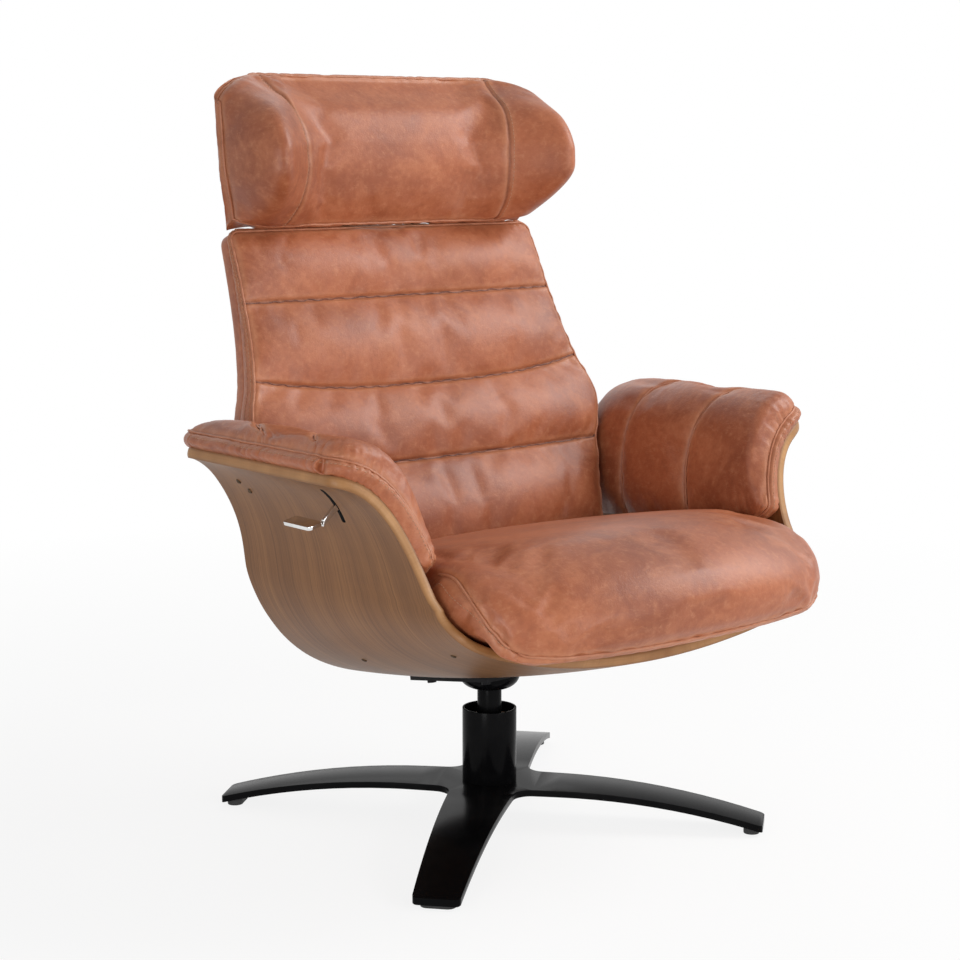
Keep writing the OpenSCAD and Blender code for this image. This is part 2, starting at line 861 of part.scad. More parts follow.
module rails() {
    color(steel_colour)
        raked()
            for (side = [-1, 1])
                translate([side * rail_x, -rail_front, rail_seat])
                    difference() {
                        translate([-rail_w / 2, 0, 0]) cube([rail_w, rail_l, rail_h]);
                        translate([rail_wall - rail_w / 2, -overrun, rail_wall])
                            cube([rail_w - 2 * rail_wall, rail_l + 2 * overrun, rail_h - 2 * rail_wall]);
                        translate([-runner_neck / 2 - slide_gap, -overrun, rail_wall])
                            cube([runner_neck + 2 * slide_gap, rail_l + 2 * overrun, rail_h]);
                    }
}

module slide_stops() {
    color(rubber_colour)
        raked()
            for (side = [-1, 1])
                for (y = [-rail_front, runner_rear + slide_gap])
                    translate([side * rail_x - rail_w / 2 + rail_wall, y, rail_seat + rail_wall])
                        cube([rail_w - 2 * rail_wall, stop_l, rail_h - 2 * rail_wall]);
}

module gas_spring_bracket() {
    rear = plate_hole_front + chassis_bar_w / 2 - stop_l;
    color(gloss_black_colour)
        raked()
            difference() {
                union() {
                    translate([-gas_strip_w / 2, -gas_rear - gas_hold, strip_z])
                        cube([gas_strip_w, gas_rear + gas_hold - rear, sheet_t]);
                    for (y = [-gas_rear - gas_hold, -gas_rear - 2 * clamp_l])
                        translate([-gas_r - gas_wall, y, strip_z])
                            cube([2 * (gas_r + gas_wall), clamp_l, gas_z + gas_r + gas_wall - strip_z]);
                }
                translate([0, overrun - gas_rear, gas_z])
                    rotate([90, 0, 0]) cylinder(r = gas_r, h = gas_l, $fn = fine);
            }
}

module gas_spring_cylinder() {
    color(gloss_black_colour)
        raked()
            translate([0, -gas_rear, gas_z])
                rotate([90, 0, 0])
                    difference() {
                        cylinder(r = gas_r, h = gas_l, $fn = fine);
                        translate([0, 0, -overrun])
                            cylinder(r = rod_r + run_gap, h = gas_l - clamp_l / 2, $fn = fine);
                    }
}

module gas_spring_rod() {
    color(chrome_colour)
        raked()
            translate([0, frame_rear - frame_bar + tab_t, gas_z])
                rotate([90, 0, 0]) cylinder(r = rod_r, h = rod_l, $fn = fine);
}

// Sliding seat

module seat_frame() {
    depth = frame_front - frame_rear;
    color(gloss_black_colour)
        raked()
            difference() {
                union() {
                    translate([0, 0, frame_z])
                        for (side = [-1, 1])
                            translate([side * (frame_half_w - frame_bar / 2) - frame_bar / 2, frame_front, 0])
                                cube([frame_bar, -depth, frame_t]);
                    for (y = [frame_front, runner_rear - runner_l, frame_rear - frame_bar])
                        translate([-frame_half_w, y, frame_z]) cube([2 * frame_half_w, frame_bar, frame_t]);
                    translate([-tab_w / 2, frame_rear - frame_bar, gas_z - gas_r])
                        cube([tab_w, tab_t, frame_z - gas_z + gas_r + overrun]);
                }
                translate([0, frame_rear, gas_z])
                    rotate([90, 0, 0]) cylinder(r = rod_r, h = 2 * frame_bar, $fn = fine);
            }
}

module seat_runners() {
    foot = rail_w / 2 - rail_wall - rail_gap;
    low = rail_seat + rail_wall + rail_gap;
    color(steel_colour)
        raked()
            for (side = [-1, 1])
                translate([side * rail_x, runner_rear - runner_l, low]) {
                    translate([-foot, 0, 0])
                        cube([2 * foot, runner_l, rail_h - 2 * rail_wall - 2 * rail_gap]);
                    translate([-runner_neck / 2, 0, 0]) cube([runner_neck, runner_l, frame_z - low]);
                }
}

module seat_webbing() {
    span = frame_rear - frame_front - web_w;
    color(rubber_colour)
        raked()
            for (i = [0:web_count - 1])
                translate([-frame_half_w, frame_front + i * span / (web_count - 1), frame_z + frame_t])
                    cube([2 * frame_half_w, web_w, web_t]);
}

// Height of the recline axis and of the drive bar in the raked frame.
hinge_slope_y = hinge_y * cos(rake) - (hinge_z - floor_z) * sin(rake);
hinge_slope_z = hinge_y * sin(rake) + (hinge_z - floor_z) * cos(rake);
drive_z = hinge_slope_z - tail_l;
drive_lift = tail_l * (1 - cos(recline));

module drive_brackets() {
    rear = hinge_slope_y + 2 * drive_r + slide_gap;
    color(gloss_black_colour)
        raked()
            for (side = [-1, 1])
                translate([side * (drive_x + bar_t / 2) - bar_t / 2, 0, 0])
                    difference() {
                        translate([0, frame_rear, drive_z - 2 * drive_r])
                            cube([bar_t, rear - frame_rear, frame_z + frame_t - drive_z + 2 * drive_r]);
                        translate([-overrun, hinge_slope_y - drive_r - slide_gap, drive_z])
                            cube([bar_t + 2 * overrun, 2 * (drive_r + slide_gap), drive_lift]);
                        for (z = [drive_z, drive_z + drive_lift])
                            translate([-overrun, hinge_slope_y, z])
                                rotate([0, 90, 0])
                                    cylinder(r = drive_r + slide_gap, h = bar_t + 2 * overrun, $fn = fine);
                    }
}

// Front of the nose at x, along the slope.
function seat_tip(u) = seat_bow * pow(u, 2.6) - seat_reach;

// Half width of the seat at share f, which widens past the arms between two shares.
function seat_half(f, wing = upper_wing_shares) =
    let (waist = shell_half_w - ply_t - pad_wall_t - seat_side_gap,
         e = max((f - seat_corner_share) / (1 - seat_corner_share), 0))
    waist + seat_wing * smooth(wing[0], wing[1], f)
    - seat_corner * (1 - sqrt(max(1 - e * e, 0)));

function seat_point(shares, f, u) =
    let (p = curve_point(shares, f),
         wing = shares == seat_upper_shares ? upper_wing_shares : lower_wing_shares)
    [u * seat_half(p[0], wing), mix(seat_rear, seat_tip(abs(u)), p[0]), deck_z + p[1] * seat_t];

function seat_low_point(f, u) =
    let (p = seat_point(seat_lower_shares, f, u), z = floor_height(p[0], p[1]) + under_gap)
    from_raked([p[0], p[1], max(p[2], z)]);

function seat_high_point(f, u) =
    let (p = seat_point(seat_upper_shares, f, u), q = seat_point(seat_lower_shares, f, u),
         e = max(1 - (1 - abs(u)) * seat_half(0) / seat_edge_r, 0),
         fade = 1 - smooth(seat_corner_share, 1, f),
         crown = seat_crown * (1 - u * u) - seat_edge_r * (1 - sqrt(max(1 - e * e, 0))),
         low = max(q[2], floor_height(q[0], q[1]) + under_gap) + nose_t)
    from_raked([p[0], p[1], max(p[2] + crown * fade, low)]);

function seat_grid(upper) = [
    for (r = [0:seat_rows]) [
        for (c = [-seat_cols:seat_cols])
            let (u = sin(90 * c / seat_cols))
            upper ? seat_high_point(r / seat_rows, u) : seat_low_point(r / seat_rows, u)]];

module seat_cushion() {
    color(leather_colour) between(seat_grid(false), seat_grid(true));
}

// Upholstered arms

// Thickness of an arm pad at column share s and at share f from its rear to its front.
function pad_thickness(s, f, length) =
    let (g = (s - flare_share) / (1 - flare_share),
         full = table_value(pad_place_shares,
                            [pad_edge_t, pad_wall_t, mix(pad_wall_t, pad_flare_t, 0.35), pad_flare_t,
                             mix(pad_wall_t, pad_flare_t, 0.9), pad_edge_t], g),
         front = min((1 - f) * length / pad_front_r, 1), rear = min(f * length / pad_rear_r, 1),
         round = sqrt(1 - pow(1 - front, 2)) * sqrt(1 - pow(1 - rear, 2)))
    mix(pad_edge_t, full, round);

function pad_row_share(r) = mix(r / pad_rows, smooth(0, 1, r / pad_rows), 0.8);

function pad_grid(inner) = [
    for (r = [0:pad_rows]) [
        for (c = [floor_cols:shell_cols])
            let (s = column_share(c), rear = rear_edge(s) + pad_rear, front = front_edge(s),
                 f = pad_row_share(r), y = mix(rear, front, f),
                 p = section(s, y, ply_t + (inner ? pad_thickness(s, f, rear - front) : 0)))
            [p[0], y, p[1]]]];

module arm_pad() {
    between(pad_grid(false), pad_grid(true));
}

module arm_pad_right() {
    color(leather_colour) arm_pad();
}

module arm_pad_left() {
    color(leather_colour)
        difference() {
            mirror([1, 0, 0]) arm_pad();
            translate([-lever_x - shell_half_w / 2, lever_y - cavity_half, cavity_low])
                cube([shell_half_w / 2 + cavity_reach, 2 * cavity_half, cavity_h]);
        }
}

module shell_screws() {
    color(steel_colour)
        at_shell_screws()
            rotate_extrude($fn = fine / 4)
                polygon([[0, -screw_depth], [screw_r, -screw_depth], [screw_r, head_gap],
                         [screw_head_r, head_gap], [screw_head_r * 0.8, screw_head_h * 0.7],
                         [0, screw_head_h]]);
}

// Recline hinge

function bracket_point(p) = [bracket_y + p[0] * bracket_l, bracket_top + p[1] * bracket_h];

module hinge_bracket() {
    color(gloss_black_colour)
        difference() {
            union() {
                translate([bracket_x, 0, 0])
                    rotate([90, 0, 90])
                        linear_extrude(bar_t) polygon([for (p = bracket_shares) bracket_point(p)]);
                for (p = standoff_shares) {
                    q = bracket_point(p);
                    translate([bracket_x, q[0], q[1]])
                        rotate([0, 90, 0])
                            cylinder(r = standoff_r, h = wall_x(q[0], q[1], ply_t / 2) - bracket_x,
                                     $fn = fine);
                }
            }
            translate([bracket_x - overrun, hinge_y, hinge_z])
                rotate([0, 90, 0]) cylinder(r = hinge_pin_r, h = bar_t + 2 * overrun, $fn = fine);
            shell_patch(floor_cols - 8, floor_cols);
        }
}

module hinge_bracket_right() {
    hinge_bracket();
}

module hinge_bracket_left() {
    mirror([1, 0, 0]) hinge_bracket();
}

module recline_pins() {
    color(steel_colour)
        both_sides()
            translate([0, hinge_y, hinge_z])
                rotate([0, 90, 0]) {
                    translate([0, 0, lug_x - sheet_t])
                        cylinder(r = hinge_pin_r, h = bracket_x + bar_t - lug_x + sheet_t, $fn = fine);
                    translate([0, 0, bracket_x + bar_t])
                        cylinder(r = 1.5 * hinge_pin_r, h = sheet_t, $fn = fine);
                }
}

// Panel that closes the shell behind the mechanism.
module rear_panel() {
    low = floor_line(panel_y) - ply_t;
    color(rubber_colour)
        difference() {
            translate([-panel_half_w, panel_y, low]) cube([2 * panel_half_w, panel_t, panel_top - low]);
            shell_below(floor_cols - 4);
        }
}

// The floor of the shell and everything below it, out to a column.
module shell_below(last) {
    between(shell_grid(-8 * ply_t, -last, last), shell_grid(ply_t, -last, last));
}

// Reclining back

lug_x = bracket_x - slide_gap - bar_t;

function back_half(z) =
    let (half = shoulder_half_w * table_value(back_height_shares, back_width_shares, z / back_top),
         e = max((z - back_top + back_corner_r) / back_corner_r, 0))
    half - back_corner_r * (1 - sqrt(max(1 - e * e, 0)));

// Outline of the back, seen from the front, inset on its sides and top and reaching below its low edge.
module back_outline(inset, low, reach = 0) {
    side = [for (i = [0:outline_steps])
        let (z = mix(back_top - inset, low, pow(i / outline_steps, 1.8))) [back_half(z) - inset, z]];
    foot = side[outline_steps] - [0, reach];
    polygon(concat([for (p = side) [-p[0], p[1]]], [[-foot[0], foot[1]], foot],
                   [for (i = [outline_steps:-1:0]) side[i]]));
}

// Slab in the frame of the board, between two depths.
module back_slab(front, rear) {
    translate([0, rear, 0]) rotate([90, 0, 0]) linear_extrude(rear - front) children();
}

board_front = -bar_t / 2 - board_t;

module back_board() {
    color(foam_colour) boarded() back_slab(board_front, -bar_t / 2) back_outline(cover_t, back_low);
}

module back_cover() {
    color(leather_dark_colour)
        boarded()
            difference() {
                back_slab(board_front, bar_t / 2 + cover_back_t) back_outline(0, back_low);
                back_slab(board_front - overrun, bar_t / 2) back_outline(cover_t, back_low, overrun);
                for (side = [-1, 1])
                    translate([side * post_x - post_w / 2 - overrun, -bar_t / 2 - overrun, back_top - bar_t])
                        cube([post_w + 2 * overrun, bar_t + overrun, 2 * bar_t]);
            }
}

module back_frame() {
    color(gloss_black_colour)
        boarded()
            difference() {
                union() {
                    translate([0, -bar_t / 2, 0]) {
                        for (side = [-1, 1])
                            translate([side * upright_x - crossbar_h / 2, 0, crossbar_low])
                                cube([crossbar_h, bar_t, crossbar_top - crossbar_low]);
                        for (z = [crossbar_middle, crossbar_top - crossbar_h])
                            translate([-upright_x, 0, z]) cube([2 * upright_x, bar_t, crossbar_h]);
                        translate([-lug_x - bar_t, 0, crossbar_low])
                            cube([2 * (lug_x + bar_t), bar_t, crossbar_h]);
                    }
                    for (side = [-1, 1])
                        translate([side * (lug_x + bar_t / 2) - bar_t / 2, 0, 0]) {
                            rotate([0, 90, 0]) cylinder(r = lug_r, h = bar_t, $fn = fine);
                            translate([0, -lug_r, 0]) cube([bar_t, 2 * lug_r, crossbar_low + crossbar_h]);
                        }
                    rotate([board_lean - rake, 0, 0])
                        for (side = [-1, 1])
                            translate([side * (tail_x + bar_t / 2) - bar_t / 2, 0, 0]) {
                                translate([0, -tail_w / 2, -tail_l])
                                    cube([bar_t, tail_w, tail_l + crossbar_low + crossbar_h / 2]);
                                translate([0, 0, -tail_l])
                                    rotate([0, 90, 0]) cylinder(d = tail_w, h = bar_t, $fn = fine);
                            }
                }
                for (side = [-1, 1])
                    translate([side * (lug_x + bar_t / 2) - bar_t, 0, 0])
                        rotate([0, 90, 0])
                            cylinder(r = hinge_pin_r + run_gap, h = 2 * bar_t, $fn = fine);
                rotate([board_lean - rake, 0, 0])
                    translate([-tail_x - 2 * bar_t, 0, -tail_l])
                        rotate([0, 90, 0])
                            cylinder(r = drive_r, h = 2 * tail_x + 4 * bar_t, $fn = fine);
            }
}

module drive_bar() {
    reach = tail_x + bar_t + sheet_t;
    color(steel_colour)
        raked()
            translate([-reach, hinge_slope_y, drive_z])
                rotate([0, 90, 0]) cylinder(r = drive_r, h = 2 * reach, $fn = fine);
}

// Front of the back cushion, at share f of its height and share u of its half width.
function back_point(f, u, front) =
    let (dip = channel_dip * table_value(channel_shares, channel_dip_shares, f) * (1 - u * u),
         i = f >= 1 ? len(channel_shares) - 2 : max([for (k = [0:len(channel_shares) - 2])
             if (channel_shares[k] <= f) k]),
         v = (f - channel_shares[i]) / (channel_shares[i + 1] - channel_shares[i]),
         flat = mix(back_low, back_top, f), z = flat - dip,
         edge = pow(1 - pow(abs(u), 5), 0.7),
         bulge = back_crown * pow(max(sin(180 * v), 0), 0.7) * edge,
         seam = mix(back_depth, back_top_depth, flat / back_top))
    [u * back_half(flat), front ? -seam - bulge : board_front, z];

function back_row_share(r) =
    let (i = min(floor(r / channel_rows), len(channel_shares) - 2), v = r / channel_rows - i)
    mix(channel_shares[i], channel_shares[i + 1], (1 - cos(180 * v)) / 2);

function back_grid(front) = [
    for (r = [0:channel_rows * (len(channel_shares) - 1)]) [
        for (c = [-back_cols:back_cols])
            back_point(back_row_share(r), sin(90 * c / back_cols), front)]];

module back_cushion() {
    color(leather_colour) boarded() between(back_grid(true), back_grid(false));
}

module headrest_posts() {
    half = bar_t / 2;
    color(steel_colour)
        boarded()
            for (side = [-1, 1])
                translate([side * post_x - post_w / 2, 0, 0])
                    difference() {
                        union() {
                            rotate([90, 0, 90])
                                linear_extrude(post_w)
                                    polygon([[half, crossbar_top], [half, post_bend + half],
                                             [tilt_y + half, tilt_z + half], [tilt_y - half, tilt_z - half],
                                             [-half, post_bend - half], [-half, crossbar_top]]);
                            translate([0, tilt_y, tilt_z])
                                rotate([0, 90, 0]) cylinder(r = eye_r, h = post_w, $fn = fine);
                        }
                        translate([-overrun, tilt_y, tilt_z])
                            rotate([0, 90, 0])
                                cylinder(r = headrest_pin_r, h = post_w + 2 * overrun, $fn = fine);
                    }
}

// Headrest

ear_x = post_x + post_w / 2 + slide_gap;
pocket_x = ear_x + bar_t + pocket_gap;

module headrest_pin() {
    color(steel_colour)
        translate([-ear_x - bar_t, headrest_y, headrest_z])
            rotate([0, 90, 0]) cylinder(r = headrest_pin_r, h = 2 * (ear_x + bar_t), $fn = fine);
}

module headrest_plate() {
    color(gloss_black_colour)
        translate([0, headrest_y, headrest_z])
            difference() {
                union() {
                    translate([-ear_x - bar_t, head_plate_y, head_plate_low])
                        cube([2 * (ear_x + bar_t), head_plate_t, head_plate_h]);
                    for (side = [-1, 1])
                        translate([side * (ear_x + bar_t / 2) - bar_t / 2, 0, 0]) {
                            translate([0, head_plate_y, -eye_r]) cube([bar_t, -head_plate_y, 2 * eye_r]);
                            rotate([0, 90, 0]) cylinder(r = eye_r, h = bar_t, $fn = fine);
                        }
                }
                translate([-2 * ear_x, 0, 0])
                    rotate([0, 90, 0])
                        cylinder(r = headrest_pin_r + run_gap, h = 4 * ear_x, $fn = fine);
            }
}

function headrest_point(f, u, front) =
    let (end = smooth(headrest_end_share, 1, abs(u)),
         curl = headrest_curl * smooth(curl_share, 1, abs(u)),
         low = headrest_chin * end - headrest_drop,
         high = headrest_h - headrest_drop - headrest_brow * end,
         rear = mix(headrest_back_low, headrest_back_top, f),
         tip = 1 - wing_fade_share * pow(max((abs(u) - wing_tip_share) / (1 - wing_tip_share), 0), 2),
         wing = wing_depth * smooth(wing_root_share, wing_full_share, abs(u)) * tip
                * pow(max(sin(180 * pow(f, 1.25)), 0), 0.62),
         face = headrest_face * table_value(headrest_height_shares, headrest_front_shares, f))
    [headrest_half_w * u, (front ? min(face, rear - nose_t / 2) - wing : rear) - curl,
     mix(low, high, f)];

function headrest_grid(front) = [
    for (r = [0:headrest_rows]) [
        for (c = [-headrest_cols:headrest_cols])
            headrest_point((1 - cos(180 * r / headrest_rows)) / 2, sin(90 * c / headrest_cols), front)]];

module headrest_cushion() {
    color(leather_colour)
        translate([0, headrest_y, headrest_z])
            difference() {
                between(headrest_grid(true), headrest_grid(false));
                translate([-pocket_x, head_plate_y, head_plate_low - pocket_gap])
                    cube([2 * pocket_x, 4 * headrest_drop, head_plate_h + pocket_gap]);
                translate([-pocket_x, -pocket_gap, -2 * headrest_drop])
                    cube([2 * pocket_x, 4 * headrest_drop, 2 * headrest_drop + head_plate_low]);
            }
}

// Release lever

module lever_bracket() {
    color(gloss_black_colour)
        difference() {
            union() {
                for (side = [-1, 1])
                    translate([-lever_x - ear_h, lever_y + side * (ear_gap + sheet_t / 2) - sheet_t / 2,
                               ear_top - ear_h])
                        cube([ear_h + ear_reach, sheet_t, ear_h]);
                translate([-lever_x - ear_h, lever_y - ear_gap - sheet_t / 2, ear_top - ear_h])
                    cube([ear_h + ear_reach, 2 * ear_gap + sheet_t, sheet_t]);
            }
            shell_outside();
            translate([-lever_x, lever_y + 2 * ear_gap, lever_z])
                rotate([90, 0, 0]) cylinder(r = lever_pin_r, h = 4 * ear_gap, $fn = fine);
        }
}

// The left wall of the shell and everything outside it.
module shell_outside() {
    mirror([1, 0, 0])
        between(shell_grid(-2 * ply_t, floor_cols, shell_cols), shell_grid(ply_t, floor_cols, shell_cols));
}

module lever_pin() {
    color(steel_colour)
        translate([-lever_x, lever_y + ear_gap + 2 * sheet_t, lever_z])
            rotate([90, 0, 0]) cylinder(r = lever_pin_r, h = 2 * ear_gap + 4 * sheet_t, $fn = fine);
}

module lever_arm() {
    color(chrome_colour)
        translate([0, lever_y + arm_bar_t / 2, 0])
            rotate([90, 0, 0])
                difference() {
                    union() {
                        linear_extrude(arm_bar_t)
                            polygon([for (p = lever_shares)
                                [p[0] * lever_l - lever_x, p[1] * lever_l + lever_z]]);
                        translate([-lever_x, lever_z, 0])
                            cylinder(r = lever_eye_r, h = arm_bar_t, $fn = fine);
                    }
                    translate([-lever_x, lever_z, -overrun])
                        cylinder(r = lever_pin_r + run_gap, h = arm_bar_t + 2 * overrun, $fn = fine);
                }
}

module lever_paddle() {
    corner = paddle_w / 4;
    color(chrome_colour)
        translate([-paddle_x, lever_y + paddle_back - paddle_l, paddle_z])
            rotate([0, -paddle_tilt, 0]) {
                translate([-paddle_w, corner, 0]) cube([paddle_w, paddle_l - 2 * corner, paddle_t]);
                translate([corner - paddle_w, 0, 0]) cube([paddle_w - 2 * corner, paddle_l, paddle_t]);
                for (x = [corner - paddle_w, -corner])
                    for (y = [corner, paddle_l - corner])
                        translate([x, y, 0]) cylinder(r = corner, h = paddle_t, $fn = fine);
            }
}

star_base();
foot_glides();
column_sleeve();
bearing_housing();
bush_upper();
bush_lower();
thrust_washer();
base_bolt();
base_washer();
spindle();
retaining_ring();
swivel_bell();
mounting_plate();
plate_bolts();
plate_nuts();
shell();
shell_screws();
chassis();
rails();
slide_stops();
gas_spring_bracket();
gas_spring_cylinder();
arm_pad_left();
arm_pad_right();
rear_panel();
hinge_bracket_left();
hinge_bracket_right();
recline_pins();
lever_bracket();
lever_pin();
seat_frame();
seat_runners();
seat_webbing();
drive_brackets();
seat_cushion();
gas_spring_rod();
back_frame();
drive_bar();
back_board();
back_cushion();
back_cover();
headrest_posts();
headrest_pin();
headrest_plate();
headrest_cushion();
lever_arm();
lever_paddle();
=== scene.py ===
"""Looks of a swivel recliner on a star base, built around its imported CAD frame.

Meshes are worked out in millimetres and written in metres. The chair faces -Y, and its
release lever is on the -X side.
"""

import logging
import math
from dataclasses import dataclass
from enum import Enum
from typing import Any, Callable, ClassVar, Iterable, Sequence

import bmesh
import bpy
import numpy as np
from mathutils import Matrix, Vector
from mathutils.bvhtree import BVHTree
from mathutils.kdtree import KDTree


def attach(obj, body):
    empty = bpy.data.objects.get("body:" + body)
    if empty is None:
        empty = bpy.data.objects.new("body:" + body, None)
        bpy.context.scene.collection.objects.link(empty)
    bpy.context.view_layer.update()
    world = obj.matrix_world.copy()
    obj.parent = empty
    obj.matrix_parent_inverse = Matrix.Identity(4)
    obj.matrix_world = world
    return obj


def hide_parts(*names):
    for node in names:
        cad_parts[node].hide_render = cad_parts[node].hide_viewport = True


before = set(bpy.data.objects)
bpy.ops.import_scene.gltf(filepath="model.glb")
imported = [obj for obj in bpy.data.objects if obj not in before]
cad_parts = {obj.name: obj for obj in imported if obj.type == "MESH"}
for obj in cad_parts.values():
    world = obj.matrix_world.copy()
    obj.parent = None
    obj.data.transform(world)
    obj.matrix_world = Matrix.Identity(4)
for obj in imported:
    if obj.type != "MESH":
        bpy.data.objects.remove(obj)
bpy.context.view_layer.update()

MM = 0.001
WELD = 2e-5
# Degrees: under which faces become one, from which edges are rounded, from which they stay sharp
FLAT_ANGLE = 0.6
SHARP_ANGLE = 32
CREASE_ANGLE = 36
TUBE_STEP = 3.0
TUBE_SIDES = 8
STITCH_R = 0.55
STITCH_PITCH = 5.5
STITCH_LENGTH = 0.38
# Lift of stitches, then shares of the radius: lift of piping, lift of welts, size of welts
STITCH_LIFT = 0.25
PIPING_LIFT_SHARE = 0.4
WELT_LIFT_SHARE = 0.3
WELT_SHARE = 0.8
DENSE_STEP = 2.0
SEATED_STEP = 2.5
CLOTH_FRAMES = 12
CLOTH = {
    "quality": 5, "mass": 0.25, "tension_stiffness": 12, "compression_stiffness": 12,
    "shear_stiffness": 6, "bending_stiffness": 1.2, "use_pressure": True,
    "vertex_group_mass": "held"}

log = logging.getLogger("recliner")
Array = np.ndarray


class Body(Enum):
    """Moving bodies of the frame."""

    BASE = "base"
    TURNTABLE = "turntable"
    SEAT = "seat"
    BACK = "back"
    HEADREST = "headrest"
    LEVER = "lever"


class Slot(Enum):
    """Names of the record's material slots, passed along with visible pieces."""

    BLACK = "gloss_black"
    RUBBER = "black_rubber"
    STEEL = "zinc_steel"
    WALNUT = "walnut_ply"
    LEATHER = "tan_leather"
    CHROME = "chrome"


# Numbers on curves


def smooth(low: float, high: float, share: Any) -> Any:
    """Eased step from 0 at low to 1 at high."""
    f = np.clip((np.asarray(share, float) - low) / (high - low), 0, 1)
    return f * f * (3 - 2 * f)


def mix(a: Any, b: Any, share: Any) -> Any:
    """Value between a and b at a share of the way."""
    return a + (b - a) * share


def span_point(a: Array, b: Array, c: Array, d: Array, t: Array) -> Array:
    """Point between b and c of a smooth curve through four values."""
    return (2 * b + (c - a) * t + (2 * a - 5 * b + 4 * c - d) * t**2
            + (3 * b - a - 3 * c + d) * t**3) / 2


def table_value(places: Sequence[float], values: Sequence[float], share: Any) -> Array:
    """Smooth value of a table between its places.

    Args:
        places: Rising places of the table.
        values: Value at each place.
        share: Where to read it.

    Returns:
        The values read.
    """
    at, known, s = np.asarray(places, float), np.asarray(values, float), np.asarray(share, float)
    last = len(at) - 2
    i = np.clip(np.searchsorted(at, s, side="right") - 1, 0, last)
    f = np.clip((s - at[i]) / (at[i + 1] - at[i]), 0, 1)
    return span_point(known[np.maximum(i - 1, 0)], known[i], known[i + 1],
                      known[np.minimum(i + 2, last + 1)], f)


def curve_points(points: Sequence[Sequence[float]], shares: Array) -> Array:
    """Points at shares from 0 to 1 of a smooth curve through evenly counted points."""
    places = np.linspace(0, 1, len(points))
    columns = np.asarray(points, float).T
    return np.stack([table_value(places, column, shares) for column in columns], axis=-1)


def clustered(knots: Sequence[float], counts: Sequence[int], ease: float = 0.75) -> Array:
    """Rising values through knots, closer together near each knot.

    Args:
        knots: Values that the result passes through.
        counts: Number of steps between each two knots.
        ease: How strongly the values gather at the knots, from 0 to 1.

    Returns:
        All the values in order.
    """
    out = [knots[0]]
    for low, high, count in zip(knots, knots[1:], counts):
        t = np.linspace(0, 1, count + 1)[1:]
        out.extend(mix(low, high, mix(t, (1 - np.cos(np.pi * t)) / 2, ease)))
    return np.array(out)


def turned(points: Array, degrees: float, origin: Sequence[float]) -> Array:
    """Points of a frame that leans back about X, set at its origin."""
    a = math.radians(degrees)
    x, y, z = points[..., 0], points[..., 1], points[..., 2]
    return np.stack([x + origin[0], y * math.cos(a) + z * math.sin(a) + origin[1],
                     -y * math.sin(a) + z * math.cos(a) + origin[2]], axis=-1)


def rounding(start: Any, end: Any, share: Any) -> Any:
    """Rise from 0 at start to 1 at end along a quarter of a circle, steepest at the end."""
    e = np.clip((np.asarray(share, float) - start) / (end - start), 0, 1)
    return 1 - np.sqrt(1 - e * e)


def across(columns: int) -> Array:
    """Row of shares across from -1 to 1, closer together at both ends."""
    return np.sin(np.radians(90 * np.linspace(-1, 1, columns + 1)))[None]


def unit(vectors: Array) -> Array:
    """Vectors made one long."""
    return vectors / np.maximum(np.linalg.norm(vectors, axis=-1, keepdims=True), 1e-6)


def pleats(run: Array, pitch: float, seed: float) -> Array:
    """Uneven narrow folds along a gathered edge, from -1 in a fold to 0 between folds."""
    t = (run / pitch + 0.4 * np.sin(run / (2.3 * pitch) + seed)
         + 0.22 * np.sin(run / (0.8 * pitch) + 2 * seed))
    depth = 0.55 + 0.45 * np.sin(run / (1.9 * pitch) + 3 * seed)
    return -depth * (1 - np.abs(np.sin(np.pi * t))) ** 1.8


# Nodes


class Value:
    """Socket of a node tree that takes part in arithmetic."""

    def __init__(self, sheet: "Sheet", socket: bpy.types.NodeSocket) -> None:
        """Keeps the socket and the sheet that adds its nodes."""
        self.sheet = sheet
        self.socket = socket

    def __add__(self, other: Any) -> "Value":
        """Sum."""
        return self.sheet.maths("ADD", self, other)

    def __sub__(self, other: Any) -> "Value":
        """Difference."""
        return self.sheet.maths("SUBTRACT", self, other)

    def __rsub__(self, other: Any) -> "Value":
        """Difference from a number on the left."""
        return self.sheet.maths("SUBTRACT", other, self)

    def __mul__(self, other: Any) -> "Value":
        """Product."""
        return self.sheet.maths("MULTIPLY", self, other)

    __radd__ = __add__
    __rmul__ = __mul__


def cleared(owner: Any) -> "Sheet":
    """Sheet on the emptied node tree of a material or world."""
    owner.use_nodes = True
    owner.node_tree.nodes.clear()
    return Sheet(owner.node_tree)


